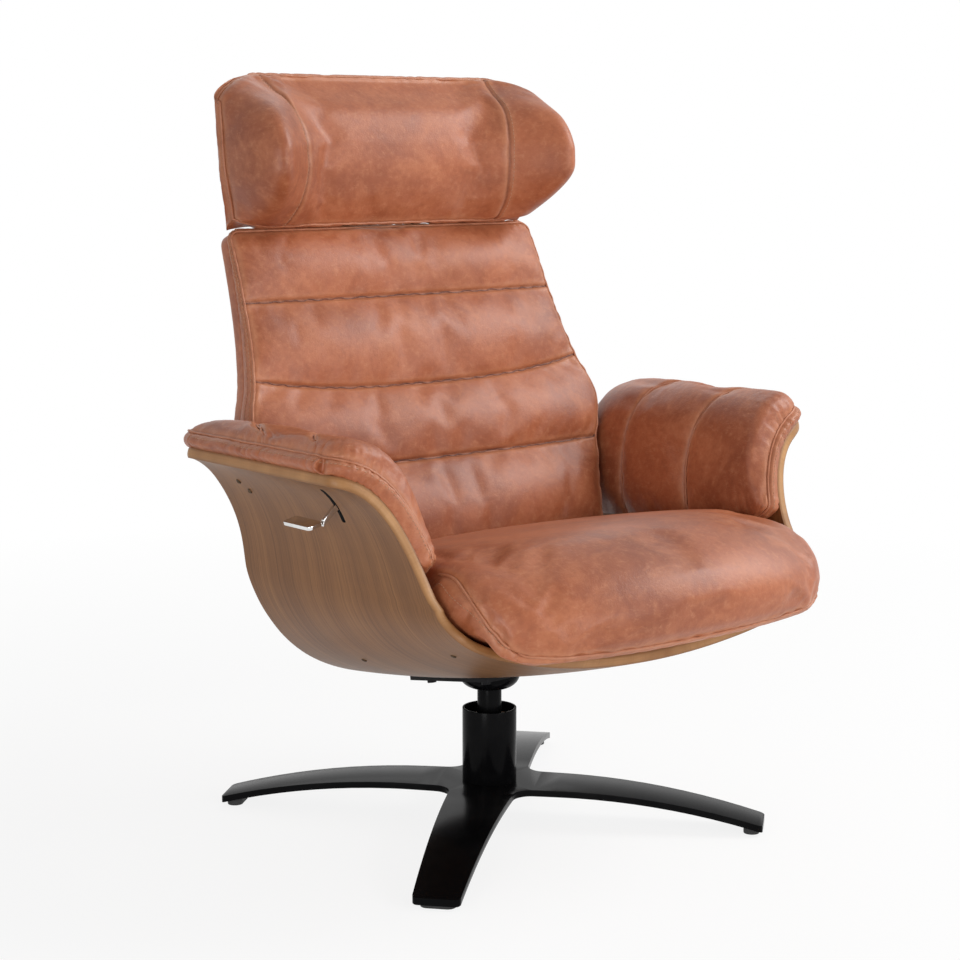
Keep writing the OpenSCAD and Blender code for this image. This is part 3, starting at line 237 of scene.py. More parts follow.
class Sheet:
    """Adds nodes to one node tree."""

    def __init__(self, tree: bpy.types.NodeTree) -> None:
        """Keeps the tree."""
        self.tree = tree

    def node(self, kind: str, inputs: dict[Any, Any] | None = None,
             **settings: Any) -> bpy.types.Node:
        """Adds a node.

        Args:
            kind: Type of the node.
            inputs: Values or links of its sockets, by name or index.
            settings: Its properties, set first.

        Returns:
            The node.
        """
        made = self.tree.nodes.new(kind)
        for key, setting in settings.items():
            setattr(made, key, setting)
        for key, given in (inputs or {}).items():
            if isinstance(given, Value):
                self.tree.links.new(given.socket, made.inputs[key])
            else:
                made.inputs[key].default_value = given
        return made

    def value(self, kind: str, inputs: dict[Any, Any] | None = None, output: Any = 0,
              **settings: Any) -> Value:
        """Adds a node and returns one of its outputs."""
        return Value(self, self.node(kind, inputs, **settings).outputs[output])

    def maths(self, operation: str, *given: Any) -> Value:
        """Result of a Math node on one or two values."""
        return self.value("ShaderNodeMath", dict(enumerate(given)), operation=operation)

    def place(self) -> Value:
        """Object coordinates, in metres."""
        return self.value("ShaderNodeTexCoord", output="Object")

    def grain(self) -> Value:
        """Map along the grain of a wooden piece, in metres."""
        return self.value("ShaderNodeUVMap", uv_map="grain")

    def mark(self, name: str) -> Value:
        """Number stored on the mesh under a name."""
        return self.value("ShaderNodeAttribute", output="Fac", attribute_name=name)

    def vectors(self, operation: str, a: Value, b: Any) -> Value:
        """Result of a Vector Math node."""
        return self.value("ShaderNodeVectorMath", {0: a, 1: b}, operation=operation)

    def noise(self, vector: Value, scale: float, detail: float = 2.0, roughness: float = 0.5,
              distortion: float = 0.0) -> Value:
        """Noise from about 0 to 1, centred on a half."""
        return self.value("ShaderNodeTexNoise", {
            "Vector": vector, "Scale": scale, "Detail": detail, "Roughness": roughness,
            "Distortion": distortion})

    def drawn(self, vector: Value, scale: Sequence[float], detail: float,
              roughness: float) -> Value:
        """Noise with its own scale along each axis."""
        return self.noise(self.vectors("MULTIPLY", vector, tuple(scale)), 1.0, detail, roughness)

    def ranged(self, value: Value, low: float, high: float) -> Value:
        """Value spread so that low gives 0 and high gives 1, kept between them."""
        return self.value("ShaderNodeMapRange", {0: value, 1: low, 2: high}, clamp=True)

    def blend(self, share: Any, a: Any, b: Any) -> Value:
        """Colour between two colours."""
        a, b = ((*paint, 1.0) if isinstance(paint, tuple) else paint for paint in (a, b))
        return self.value("ShaderNodeMix", {0: share, 6: a, 7: b}, output=2, data_type="RGBA")

    def washed(self, tone: Value, *washes: tuple[Value, float, float, float, "Colour"]) -> Value:
        """Colour under washes: each a pattern, its two ends, its strength and its colour."""
        for pattern, low, high, strength, colour in washes:
            tone = self.blend(self.ranged(pattern, low, high) * strength, tone, colour)
        return tone

    def bump(self, height: Value, strength: float, distance: float) -> Value:
        """Normal of a bumpy surface."""
        return self.value("ShaderNodeBump", {
            "Strength": strength, "Distance": distance, "Height": height})


Colour = tuple[float, float, float]


@dataclass(frozen=True)
class Finish:
    """Surface finish that gives one material; its shine is the same all over."""

    shine: ClassVar[dict[str, float]] = {}
    name: str = "finish"

    def paint(self, sheet: Sheet) -> dict[str, Value]:
        """Shader inputs that change over the surface."""
        return {}

    def material(self) -> bpy.types.Material:
        """The material, made when it is first asked for."""
        found = bpy.data.materials.get(self.name)
        if found:
            return found
        made = bpy.data.materials.new(self.name)
        sheet = cleared(made)
        shader = sheet.node("ShaderNodeBsdfPrincipled", self.shine)
        sheet.node("ShaderNodeOutputMaterial", {"Surface": Value(sheet, shader.outputs[0])})
        for socket, value in self.paint(sheet).items():
            made.node_tree.links.new(value.socket, shader.inputs[socket])
        return made


@dataclass(frozen=True)
class Leather(Finish):
    """Waxed pull-up leather with clouded colour and grain, painted shade in the seam creases, and a
    lighter band beside the seams that is partly rubbed wear and partly painted highlight.
    """

    shine = {"Specular IOR Level": 0.42, "Coat Weight": 0.04, "Coat Roughness": 0.32}
    name: str = "leather"
    # Painted shade of the seam creases
    crease_shade: Colour = (0.06, 0.014, 0.007)
    dark: Colour = (0.215, 0.053, 0.020)
    middle: Colour = (0.385, 0.113, 0.046)
    light: Colour = (0.50, 0.178, 0.081)
    # Rubbed wear of the scuffs and flecks, and the painted highlight beside the seams
    rubbed_and_highlight: Colour = (0.61, 0.28, 0.145)
    grain_scale: float = 430.0

    def paint(self, sheet: Sheet) -> dict[str, Value]:
        """Clouded colour, rubbed scuffs and flecks, painted shade in the seam creases, a band
        beside the seams that is partly rubbed wear and partly painted highlight, and grain.
        """
        place = sheet.place()
        clouds = sheet.noise(place, 5.2, 3, 0.55, 0.4)
        marble = sheet.noise(place, 17, 6, 0.64, 1.0)
        fleck = sheet.noise(place, 120, 4, 0.62)
        wrinkle = sheet.noise(place, 42, 5, 0.6, 0.8)
        scuff = sheet.noise(sheet.vectors("MULTIPLY", place, (1, 1, 2.6)), 75, 5, 0.7, 1.6)
        tone = sheet.blend(sheet.ranged(clouds, 0.33, 0.57) * 0.8 + 0.2, self.dark, self.middle)
        tone = sheet.washed(
            tone, (marble, 0.45, 0.70, 0.6, self.light), (marble, 0.45, 0.26, 0.4, self.dark),
            (scuff, 0.56, 0.74, 0.3, self.rubbed_and_highlight), (fleck, 0.53, 0.76, 0.3, self.rubbed_and_highlight),
            (fleck, 0.47, 0.28, 0.32, self.dark))
        # Painted shade darkens the seam creases; the lighter band beside the seams is partly rubbed
        # wear and partly painted highlight
        wear, seam = sheet.mark("wear"), sheet.mark("seam")
        tone = sheet.blend(seam * 0.8, sheet.blend(wear * 0.34, tone, self.rubbed_and_highlight), self.crease_shade)
        pebble = sheet.value("ShaderNodeTexVoronoi", {
            "Vector": place, "Scale": self.grain_scale})
        height = pebble * 0.4 + sheet.noise(place, 900) * 0.2 + wrinkle * 1.3
        return {"Base Color": tone, "Roughness": 0.33 + marble * 0.16 + fleck * 0.06 + seam * 0.2,
                "Normal": sheet.bump(height, 0.32, 0.0011)}


@dataclass(frozen=True)
class Veneer(Finish):
    """Oiled walnut face under a thin satin lacquer, grained along the piece's own map."""

    shine = {"Specular IOR Level": 0.3, "Coat Weight": 0.05, "Coat Roughness": 0.3}
    name: str = "walnut_veneer"
    dark: Colour = (0.112, 0.041, 0.012)
    middle: Colour = (0.236, 0.102, 0.034)
    pale: Colour = (0.37, 0.178, 0.066)

    def paint(self, sheet: Sheet) -> dict[str, Value]:
        """Bands, fine pale lines and pores that follow the grain."""
        grain = sheet.grain()
        drift = sheet.drawn(grain, (3.2, 1.5, 1), 2, 0.5)
        sway = sheet.value("ShaderNodeCombineXYZ", {0: (drift - 0.5) * 0.055})
        run = sheet.vectors("ADD", grain, sway)
        band = sheet.drawn(run, (22, 0.7, 1), 2, 0.5)
        line = sheet.drawn(run, (290, 0.8, 1), 4, 0.68)
        fibre = sheet.drawn(run, (900, 9, 1), 3, 0.6)
        pore = sheet.drawn(run, (1300, 32, 1), 2, 0.5)
        tone = sheet.blend(sheet.ranged(band, 0.3, 0.6) * 0.6 + 0.4, self.dark, self.middle)
        tone = sheet.washed(
            tone, (line, 0.55, 0.72, 0.6, self.pale), (line, 0.48, 0.35, 0.75, self.dark),
            (fibre, 0.5, 0.72, 0.3, self.pale), (pore, 0.44, 0.3, 0.55, self.dark))
        height = pore * 0.5 + fibre * 0.35 + line * 0.4
        return {"Base Color": tone, "Roughness": 0.38 + fibre * 0.16,
                "Normal": sheet.bump(height, 0.18, 0.0006)}


@dataclass(frozen=True)
class PlyEdge(Finish):
    """Sanded edge of bent plywood, its layers stored on the mesh."""

    shine = {"Specular IOR Level": 0.35, "Coat Weight": 0.1, "Coat Roughness": 0.25}
    name: str = "ply_edge"
    light: Colour = (0.52, 0.275, 0.108)
    dark: Colour = (0.27, 0.115, 0.034)
    rim: Colour = (0.20, 0.085, 0.028)
    layers: float = 4.0

    def paint(self, sheet: Sheet) -> dict[str, Value]:
        """Layers of veneer with fine fibres and blotches."""
        grain = sheet.grain()
        blotch = sheet.drawn(grain, (6, 9, 1), 3, 0.6)
        fibre = sheet.drawn(grain, (300, 300, 1), 3, 0.6)
        depth = sheet.mark("layer") * (self.layers * 2.0 * math.pi) + blotch * 0.8
        wave = sheet.maths("SINE", depth)
        off = sheet.maths("ABSOLUTE", sheet.mark("layer") - 0.5)
        tone = sheet.blend(sheet.ranged(blotch, 0.35, 0.7), self.dark, self.light)
        tone = sheet.washed(tone, (wave, 0.3, 1.0, 0.12, self.dark),
                            (off, 0.22, 0.46, 0.75, self.rim), (fibre, 0.5, 0.75, 0.3, self.dark))
        return {"Base Color": tone, "Roughness": 0.4 + fibre * 0.15,
                "Normal": sheet.bump(fibre + wave * 0.3, 0.2, 0.0004)}


@dataclass(frozen=True)
class Lacquer(Finish):
    """Black gloss lacquer on metal."""

    shine = {"Coat Weight": 0.02, "Coat Roughness": 0.1, "Specular IOR Level": 0.035}
    name: str = "black_lacquer"
    colour: Colour = (0.003, 0.003, 0.0035)
    dust: Colour = (0.007, 0.007, 0.0075)
    roughness: float = 0.16

    def paint(self, sheet: Sheet) -> dict[str, Value]:
        """Slight orange peel and handling marks."""
        place = sheet.place()
        peel = sheet.noise(place, 260)
        smear = sheet.noise(place, 14, 4, 0.6)
        return {"Base Color": sheet.blend(sheet.ranged(smear, 0.4, 0.7), self.colour, self.dust),
                "Roughness": self.roughness + smear * 0.1, "Normal": sheet.bump(peel, 0.05, 0.0003)}


@dataclass(frozen=True)
class Metal(Finish):
    """Plated or polished bare metal."""

    shine = {"Metallic": 1.0}
    name: str = "zinc"
    colour: Colour = (0.56, 0.57, 0.6)
    stain: Colour = (0.42, 0.43, 0.45)
    roughness: float = 0.3
    brushed: float = 1.0

    def paint(self, sheet: Sheet) -> dict[str, Value]:
        """Clouded plating with fine brushing."""
        place = sheet.place()
        cloud = sheet.noise(place, 35, 4, 0.6)
        brush = sheet.drawn(place, (1200, 60, 1200), 2, 0.5)
        return {"Base Color": sheet.blend(sheet.ranged(cloud, 0.35, 0.65), self.stain, self.colour),
                "Roughness": self.roughness + brush * (0.1 * self.brushed) + cloud * 0.04,
                "Normal": sheet.bump(brush, 0.06 * self.brushed, 0.0003)}


@dataclass(frozen=True)
class Plain(Finish):
    """Dull material with a grain of its own, such as rubber, nylon or board."""

    name: str = "rubber"
    low: Colour = (0.018, 0.018, 0.018)
    high: Colour = (0.035, 0.035, 0.036)
    roughness: float = 0.62
    scale: tuple[float, float, float] = (320, 320, 320)
    relief: float = 0.25

    def paint(self, sheet: Sheet) -> dict[str, Value]:
        """Grain in two tones."""
        place = sheet.place()
        grain = sheet.drawn(place, self.scale, 3, 0.6)
        cloud = sheet.noise(place, 18, 3)
        share = sheet.ranged(grain, 0.35, 0.65) * 0.7 + sheet.ranged(cloud, 0.35, 0.65) * 0.3
        return {"Base Color": sheet.blend(share, self.low, self.high),
                "Roughness": self.roughness + grain * 0.15,
                "Normal": sheet.bump(grain, self.relief, 0.0006)}


@dataclass(frozen=True)
class Weave(Finish):
    """Woven webbing or lining cloth."""

    name: str = "webbing"
    thread: Colour = (0.03, 0.03, 0.032)
    gap: Colour = (0.008, 0.008, 0.009)
    pitch: float = 480.0

    def paint(self, sheet: Sheet) -> dict[str, Value]:
        """Crossing threads."""
        place = sheet.place()
        bent = sheet.noise(place, 60) * 0.9
        apart = sheet.node("ShaderNodeSeparateXYZ", {
            0: sheet.vectors("MULTIPLY", place, (self.pitch,) * 3)})
        warp, weft, rise = (sheet.maths("SINE", Value(sheet, out) + bent) for out in apart.outputs)
        cloth = warp * weft * 0.5 + rise * warp * 0.25 + 0.5
        return {"Base Color": sheet.blend(sheet.ranged(cloth, 0.2, 0.8), self.gap, self.thread),
                "Roughness": 0.7 + cloth * 0.12, "Normal": sheet.bump(cloth, 0.5, 0.0005)}


LEATHER = Leather()
WELT = Leather("leather_welt", middle=(0.46, 0.175, 0.09), light=(0.58, 0.27, 0.16),
               dark=(0.34, 0.11, 0.05))
# Dark leather of the lines sunk into the back's channel seams: painted shade in the creases
SEAM_SHADE = Leather("leather_seam", dark=(0.09, 0.024, 0.012), middle=(0.13, 0.036, 0.018),
               light=(0.2, 0.06, 0.03))
THREAD = Plain("thread", (0.36, 0.17, 0.10), (0.56, 0.31, 0.19), 0.6, (2200, 2200, 2200), 0.3)
VENEER = Veneer()
PLY_EDGE = PlyEdge()
BLACK = Lacquer()
SATIN = Lacquer("black_powder_coat", (0.014, 0.014, 0.015), (0.028, 0.028, 0.03), 0.36)
ZINC = Metal()
CHROME = Metal("chrome_plate", (0.80, 0.79, 0.78), (0.70, 0.69, 0.68), 0.08, 0.3)
RUBBER = Plain()
NYLON = Plain("nylon_moulding", (0.62, 0.60, 0.53), (0.74, 0.72, 0.65), 0.36, (150, 150, 150),
              0.08)
BRONZE = Metal("bronzed_steel", (0.10, 0.065, 0.04), (0.06, 0.04, 0.026), 0.4)
BOARD = Plain("moulded_board", (0.36, 0.24, 0.12), (0.55, 0.40, 0.23), 0.7, (220, 220, 60), 0.4)
# Black lining of the rear panel, and painted shade on the faces that cutters leave in the shell
# slot, the arm cavity and the headrest pocket
LINING_AND_SHADE = Weave("black_lining", (0.02, 0.02, 0.021), (0.006, 0.006, 0.007), 900.0)
WEBBING = Weave()


# Meshes


def linked(name: str, data: bpy.types.ID) -> bpy.types.Object:
    """Object of some data, linked to the scene."""
    made = bpy.data.objects.new(name, data)
    bpy.context.scene.collection.objects.link(made)
    return made


def piece_of(name: str, points: Array, faces: Iterable[Sequence[int]],
             finishes: Sequence[Finish], paints: Array | None = None) -> bpy.types.Object:
    """Object of a mesh given in millimetres.

    Args:
        name: Name of the piece.
        points: Its points, in millimetres.
        faces: Its faces, by point number.
        finishes: Its finishes, one for each material slot.
        paints: Slot number of each face.

    Returns:
        The object, linked to the scene.
    """
    mesh = bpy.data.meshes.new(name)
    mesh.from_pydata((np.asarray(points, float) * MM).tolist(), [], [tuple(f) for f in faces])
    for finish in finishes:
        mesh.materials.append(finish.material())
    if paints is not None:
        mesh.polygons.foreach_set("material_index", np.asarray(paints, np.int32))
    work = bmesh.new()
    work.from_mesh(mesh)
    bmesh.ops.recalc_face_normals(work, faces=work.faces)
    work.to_mesh(mesh)
    work.free()
    mesh.polygons.foreach_set("use_smooth", np.ones(len(mesh.polygons), bool))
    return linked(name, mesh)


def applied(piece: bpy.types.Object) -> bpy.types.Object:
    """Turns a piece and its modifiers into a plain mesh."""
    depsgraph = bpy.context.evaluated_depsgraph_get()
    mesh = bpy.data.meshes.new_from_object(
        piece.evaluated_get(depsgraph), preserve_all_data_layers=True, depsgraph=depsgraph)
    piece.modifiers.clear()
    old, piece.data = piece.data, mesh
    mesh.name = piece.name
    if old.users == 0:
        bpy.data.meshes.remove(old)
    return piece


def point_values(values: Any, key: str) -> Array:
    """Vectors of a mesh's points, read under a key."""
    flat = np.zeros(len(values) * 3, np.float32)
    values.foreach_get(key, flat)
    return flat.reshape(-1, 3).astype(float)


def coordinates(mesh: bpy.types.Mesh) -> Array:
    """Places of a mesh's points, in metres."""
    return point_values(mesh.vertices, "co")


def set_coordinates(mesh: bpy.types.Mesh, points: Array) -> None:
    """Moves a mesh's points, given in metres."""
    mesh.vertices.foreach_set("co", points.astype(np.float32).ravel())
    mesh.update()


def store(mesh: bpy.types.Mesh, name: str, values: Array) -> None:
    """Keeps a number for each point of a mesh under a name."""
    kept = mesh.attributes.get(name) or mesh.attributes.new(name, "FLOAT", "POINT")
    kept.data.foreach_set("value", np.asarray(values, np.float32))


def subdivide(piece: bpy.types.Object) -> None:
    """Rounds a piece by one level of subdivision."""
    smoothing = piece.modifiers.new("smoothing", "SUBSURF")
    smoothing.levels = smoothing.render_levels = 1
    applied(piece)


def cut(piece: bpy.types.Object, cutter: bpy.types.Object) -> None:
    """Cuts one closed piece out of another, whose cut faces take the cutter's finish."""
    work = piece.modifiers.new("cut", "BOOLEAN")
    work.operation, work.solver, work.object = "DIFFERENCE", "EXACT", cutter
    work.material_mode = "TRANSFER"
    applied(piece)
    bpy.data.objects.remove(cutter)


def block(name: str, low: Sequence[float], high: Sequence[float],
          round_by: float) -> bpy.types.Object:
    """Box with rounded edges, used as a cutter, whose black lining paints shade on the faces it
    cuts.
    """
    corners = [(x, y, z) for x in (low[0], high[0]) for y in (low[1], high[1])
               for z in (low[2], high[2])]
    piece = piece_of(name, corners, [(0, 1, 3, 2), (4, 6, 7, 5), (0, 4, 5, 1), (2, 3, 7, 6),
                                     (0, 2, 6, 4), (1, 5, 7, 3)], [LINING_AND_SHADE])
    edge = piece.modifiers.new("edge", "BEVEL")
    edge.width, edge.segments = round_by * MM, 4
    return applied(piece)


def dressed(nodes: Sequence[str], finish: Finish) -> None:
    """Gives CAD nodes that stay as they are their finish."""
    for name in nodes:
        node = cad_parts[name]
        if not node.material_slots:
            node.data.materials.append(finish.material())
        for slot in node.material_slots:
            slot.material = finish.material()


def softened(node: str, finish: Finish, body: Body, slot: Slot, width: float) -> None:
    """Replaces a hard CAD node by the same form with rounded edges.

    Args:
        node: Name of the node.
        finish: Its finish.
        body: The body it rides on.
        slot: The record's material slot.
        width: Width of the rounding, in millimetres.
    """
    work = bmesh.new()
    work.from_mesh(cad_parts[node].data)
    bmesh.ops.remove_doubles(work, verts=work.verts, dist=WELD)
    bmesh.ops.dissolve_limit(work, angle_limit=math.radians(FLAT_ANGLE), verts=work.verts,
                             edges=work.edges)
    sharp = [e for e in work.edges
             if len(e.link_faces) == 2 and e.calc_face_angle(0) > math.radians(SHARP_ANGLE)]
    bmesh.ops.bevel(work, geom=sharp, offset=width * MM, segments=2, profile=0.6, affect="EDGES",
                    clamp_overlap=True)
    work.verts.index_update()
    points = np.array([v.co for v in work.verts]) / MM
    faces = [[v.index for v in f.verts] for f in work.faces]
    work.free()
    piece = piece_of(node + "_finished", points, faces, [finish])
    piece.data.set_sharp_from_angle(angle=math.radians(CREASE_ANGLE))
    settled_in(piece, body, slot, node)


def settled_in(piece: bpy.types.Object, body: Body, slot: Slot, *nodes: str,
               fill: float | None = None) -> None:
    """Hides the CAD nodes that a piece stands for and hangs the piece on its body.

    Args:
        piece: The finished piece.
        body: The body it rides on.
        slot: The record's material slot; not used.
        nodes: The CAD nodes it stands for.
        fill: How tightly it is stuffed, where it is padded; not used.
    """
    if nodes:
        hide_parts(*nodes)
    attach(piece, body.value)
    log.info("%s: %d faces on %s", piece.name, len(piece.data.polygons), body.value)


# Repeats along paths, made with Geometry Nodes

Take = Callable[[str], Value]


@dataclass
class Repeat:
    """Geometry Nodes tree that makes its shapes along a path or on points.

    Attributes:
        name: Name of the tree.
        kinds: Kind of each of its inputs, apart from the path and the material.
        make: Adds the nodes between the inputs and the shading.
    """

    name: str
    kinds: dict[str, str]
    make: Callable[[Sheet, Take], Value]

    def __post_init__(self) -> None:
        """Builds the tree, which ends by realizing the shapes and giving them their material."""
        self.tree = bpy.data.node_groups.new(self.name, "GeometryNodeTree")
        ends = self.tree.interface
        ends.new_socket("Geometry", in_out="OUTPUT", socket_type="NodeSocketGeometry")
        self.inputs = {}
        for label, kind in {"Path": "Geometry", **self.kinds, "Material": "Material"}.items():
            socket = ends.new_socket(label, in_out="INPUT", socket_type="NodeSocket" + kind)
            self.inputs[label] = socket.identifier
        sheet = Sheet(self.tree)
        given = sheet.node("NodeGroupInput")
        take = lambda label: Value(sheet, given.outputs[label])
        made = self.make(sheet, take)
        made = sheet.value("GeometryNodeSetShadeSmooth", {"Geometry": made})
        made = sheet.value("GeometryNodeRealizeInstances", {"Geometry": made})
        made = sheet.value("GeometryNodeSetMaterial", {
            "Geometry": made, "Material": take("Material")})
        sheet.node("NodeGroupOutput", {"Geometry": made})

    def run(self, piece: bpy.types.Object, **inputs: Any) -> bpy.types.Object:
        """Runs the tree on a piece, with values of its inputs by name, and keeps the plain mesh."""
        modifier = piece.modifiers.new("repeat", "NODES")
        modifier.node_group = self.tree
        for label, value in inputs.items():
            modifier[self.inputs[label]] = value
        return applied(piece)


def even_curve(sheet: Sheet, take: Take, step: str) -> Value:
    """Path as a curve with even steps, whose length is an input."""
    curve = sheet.value("GeometryNodeMeshToCurve", {"Mesh": take("Path")})
    return sheet.value("GeometryNodeResampleCurve", {"Curve": curve, "Length": take(step)},
                       mode="LENGTH")


def tube_nodes(sheet: Sheet, take: Take) -> Value:
    """Round tube along a path."""
    ring = sheet.value("GeometryNodeCurvePrimitiveCircle", {
        "Resolution": take("Sides"), "Radius": take("Radius")})
    return sheet.value("GeometryNodeCurveToMesh", {
        "Curve": even_curve(sheet, take, "Step"), "Profile Curve": ring, "Fill Caps": True})


def turned_to(sheet: Sheet, direction: Value) -> Value:
    """Rotation that turns Z to a direction."""
    return sheet.value("FunctionNodeAlignRotationToVector", {"Vector": direction}, axis="Z")


def stitch_nodes(sheet: Sheet, take: Take) -> Value:
    """Long beads along a path."""
    bead = sheet.value("GeometryNodeMeshUVSphere", {
        "Segments": 6, "Rings": 5, "Radius": take("Radius")})
    size = sheet.value("ShaderNodeCombineXYZ", {0: 1.0, 1: 1.0, 2: take("Stretch")})
    return sheet.value("GeometryNodeInstanceOnPoints", {
        "Points": even_curve(sheet, take, "Pitch"), "Instance": bead, "Scale": size,
        "Rotation": turned_to(sheet, sheet.value("GeometryNodeInputTangent"))})


def screw_nodes(sheet: Sheet, take: Take) -> Value:
    """Screws on points that carry the direction they face."""
    facing = sheet.value("GeometryNodeInputNamedAttribute", {"Name": "facing"},
                         data_type="FLOAT_VECTOR")
    head = sheet.value("GeometryNodeObjectInfo", {
        "Object": take("Screw"), "As Instance": True}, output="Geometry")
    return sheet.value("GeometryNodeInstanceOnPoints", {
        "Points": take("Path"), "Instance": head, "Rotation": turned_to(sheet, facing)})


TUBE = Repeat("tube_along_path", {"Radius": "Float", "Step": "Float", "Sides": "Int"}, tube_nodes)
STITCHES = Repeat("stitches_along_path", {"Radius": "Float", "Pitch": "Float", "Stretch": "Float"},
                  stitch_nodes)
SCREWS = Repeat("screws_on_points", {"Screw": "Object"}, screw_nodes)


def path_object(name: str, lines: Sequence[Array], closed: bool = False) -> bpy.types.Object:
    """Object of bare edges along one or more lines of points in millimetres."""
    points, edges, first = [], [], 0
    for line in lines:
        points.extend((np.asarray(line) * MM).tolist())
        edges.extend((first + i, first + i + 1) for i in range(len(line) - 1))
        if closed:
            edges.append((first + len(line) - 1, first))
        first += len(line)
    mesh = bpy.data.meshes.new(name)
    mesh.from_pydata(points, edges, [])
    return linked(name, mesh)


def trim(name: str, body: Body, lines: Sequence[Array], radius: float = 0.0,
         finish: Finish = WELT, closed: bool = False) -> None:
    """Adds piping along lines, or stitches where no radius is given.

    Args:
        name: Name of the piece.
        body: The body it rides on.
        lines: Lines of points, in millimetres.
        radius: Radius of the piping, in millimetres.
        finish: Its finish.
        closed: Whether the lines are rings.
    """
    path = path_object(name, lines, closed)
    if radius:
        TUBE.run(path, Radius=radius * MM, Step=TUBE_STEP * MM, Sides=TUBE_SIDES,
                 Material=finish.material())
    else:
        STITCHES.run(path, Radius=STITCH_R * MM, Pitch=STITCH_PITCH * MM,
                     Stretch=STITCH_LENGTH * STITCH_PITCH / STITCH_R, Material=THREAD.material())
    settled_in(path, body, Slot.LEATHER)


# Padded forms


class Part(Enum):
    """Parts of the rim of a grid, in the order in which they follow each other."""

    FIRST_ROW = 0
    LAST_COLUMN = 1
    LAST_ROW = 2
    FIRST_COLUMN = 3


@dataclass
class Form:
    """Closed form between a front and a back grid of points, in millimetres."""

    front: Array
    back: Array
    rings: int = 3
    bulge: Any = 0.0
    power: float = 2.0

    def rim(self) -> list[tuple[int, int]]:
        """Rows and columns round the edge."""
        rows, cols = self.front.shape[:2]
        return ([(0, c) for c in range(cols)] + [(r, cols - 1) for r in range(1, rows)]
                + [(rows - 1, c) for c in range(cols - 2, -1, -1)]
                + [(r, 0) for r in range(rows - 2, 0, -1)])

    def level(self, share: float) -> Array:
        """Line round the rim at a share of its thickness, 0 at the front."""
        rows, cols = self.front.shape[:2]
        r, c = np.array(self.rim()).T
        start, end = self.front[r, c], self.back[r, c]
        inner = np.clip(r, 1, rows - 2), np.clip(c, 1, cols - 2)
        out = start + end - self.front[inner] - self.back[inner]
        for line in (end - start, np.roll(start, -1, axis=0) - np.roll(start, 1, axis=0)):
            line = unit(line)
            out = out - line * (out * line).sum(1, keepdims=True)
        out = unit(out)
        swell = np.asarray(self.bulge, float) * (1 - abs(2 * share - 1) ** self.power)
        return mix(start, end, share) + out * np.reshape(swell, (-1, 1))

    def span(self, share: float, *parts: Part) -> Array:
        """Line along some parts of the rim, which follow each other."""
        rows, cols = self.front.shape[:2]
        line = self.level(share)
        starts = np.cumsum([0, cols - 1, rows - 1, cols - 1, rows - 1])
        whole = np.vstack([line, line[:1]])
        return np.vstack([whole[starts[part.value]:starts[part.value + 1] + (part is parts[-1])]
                          for part in parts])

    def piece(self, name: str, finishes: Sequence[Finish],
              grain: Array | None = None) -> bpy.types.Object:
        """Mesh of the form.

        Args:
            name: Name of the piece.
            finishes: Finish of the faces, and of the rim where there are two.
            grain: Map coordinates of each grid point.

        Returns:
            The object, with its depth through the thickness stored as layer.
        """
        rows, cols = self.front.shape[:2]
        count = rows * cols
        ids = np.arange(count).reshape(rows, cols)
        r, c = np.array(self.rim()).T
        shares = np.linspace(0, 1, self.rings + 2)[1:-1]
        levels = [self.level(share) for share in shares]
        points = np.vstack([self.front.reshape(-1, 3), self.back.reshape(-1, 3), *levels])
        face = np.stack([ids[:-1, :-1], ids[:-1, 1:], ids[1:, 1:], ids[1:, :-1]], -1).reshape(-1, 4)
        between = [2 * count + k * len(r) + np.arange(len(r)) for k in range(self.rings)]
        loops = [ids[r, c], *between, ids[r, c] + count]
        sides = [np.stack([a, np.roll(a, -1), np.roll(b, -1), b], -1)
                 for a, b in zip(loops, loops[1:])]
        faces = np.vstack([face, face[:, ::-1] + count, *sides])
        paints = np.zeros(len(faces), int)
        if len(finishes) > 1:
            paints[2 * len(face):] = 1
        piece = piece_of(name, points, faces.tolist(), finishes, paints)
        store(piece.data, "layer", np.concatenate([np.zeros(count), np.ones(count), *[
            np.full(len(r), share) for share in shares]]))
        if grain is not None:
            flat = grain.reshape(-1, 2)
            table = np.vstack([flat, flat, *[grain[r, c]] * self.rings])
            corners = np.zeros(len(piece.data.loops), np.int32)
            piece.data.loops.foreach_get("vertex_index", corners)
            layer = piece.data.uv_layers.new(name="grain")
            layer.data.foreach_set("uv", table[corners].astype(np.float32).ravel())
        return piece


@dataclass(frozen=True)
class Seam:
    """Sewn line on a padded piece, with its sizes in millimetres."""

    line: Array
    depth: float
    width: float
    gather: float = 0.0
    reach: float = 22.0
    pitch: float = 15.0
    seed: float = 1.0
    # Strength of the painted shade in the seam's crease
    dark: float = 0.6


def dense(line: Array, step: float = DENSE_STEP) -> Array:
    """Line of points with even steps."""
    lengths = np.concatenate([[0], np.cumsum(np.linalg.norm(np.diff(line, axis=0), axis=1))])
    keep = np.concatenate([[True], np.diff(lengths) > 1e-6])
    line, lengths = line[keep], lengths[keep]
    places = np.linspace(0, lengths[-1], max(int(lengths[-1] / step), 2) + 1)
    return np.stack([np.interp(places, lengths, line[:, k]) for k in range(3)], axis=1)


def rim_values(rows: int, cols: int, *values: Any) -> Array:
    """Numbers round a rim, from one number or list for each of its parts in order."""
    counts = (cols, rows - 1, cols - 1, rows - 2)
    return np.concatenate([np.broadcast_to(value, (count,))
                           for value, count in zip(values, counts)])


def seated(line: Array, piece: bpy.types.Object, lift: float) -> Array:
    """Line moved onto the surface of a piece and lifted off it, in millimetres."""
    tree = BVHTree.FromObject(piece, bpy.context.evaluated_depsgraph_get())
    out = []
    for point in dense(line, SEATED_STEP):
        place, normal, _, _ = tree.find_nearest(Vector(point * MM))
        out.append(np.array(place) / MM + np.array(normal) * lift)
    out = np.array(out)
    for _ in range(2):
        out[1:-1] = (out[:-2] + 2 * out[1:-1] + out[2:]) / 4
    return out


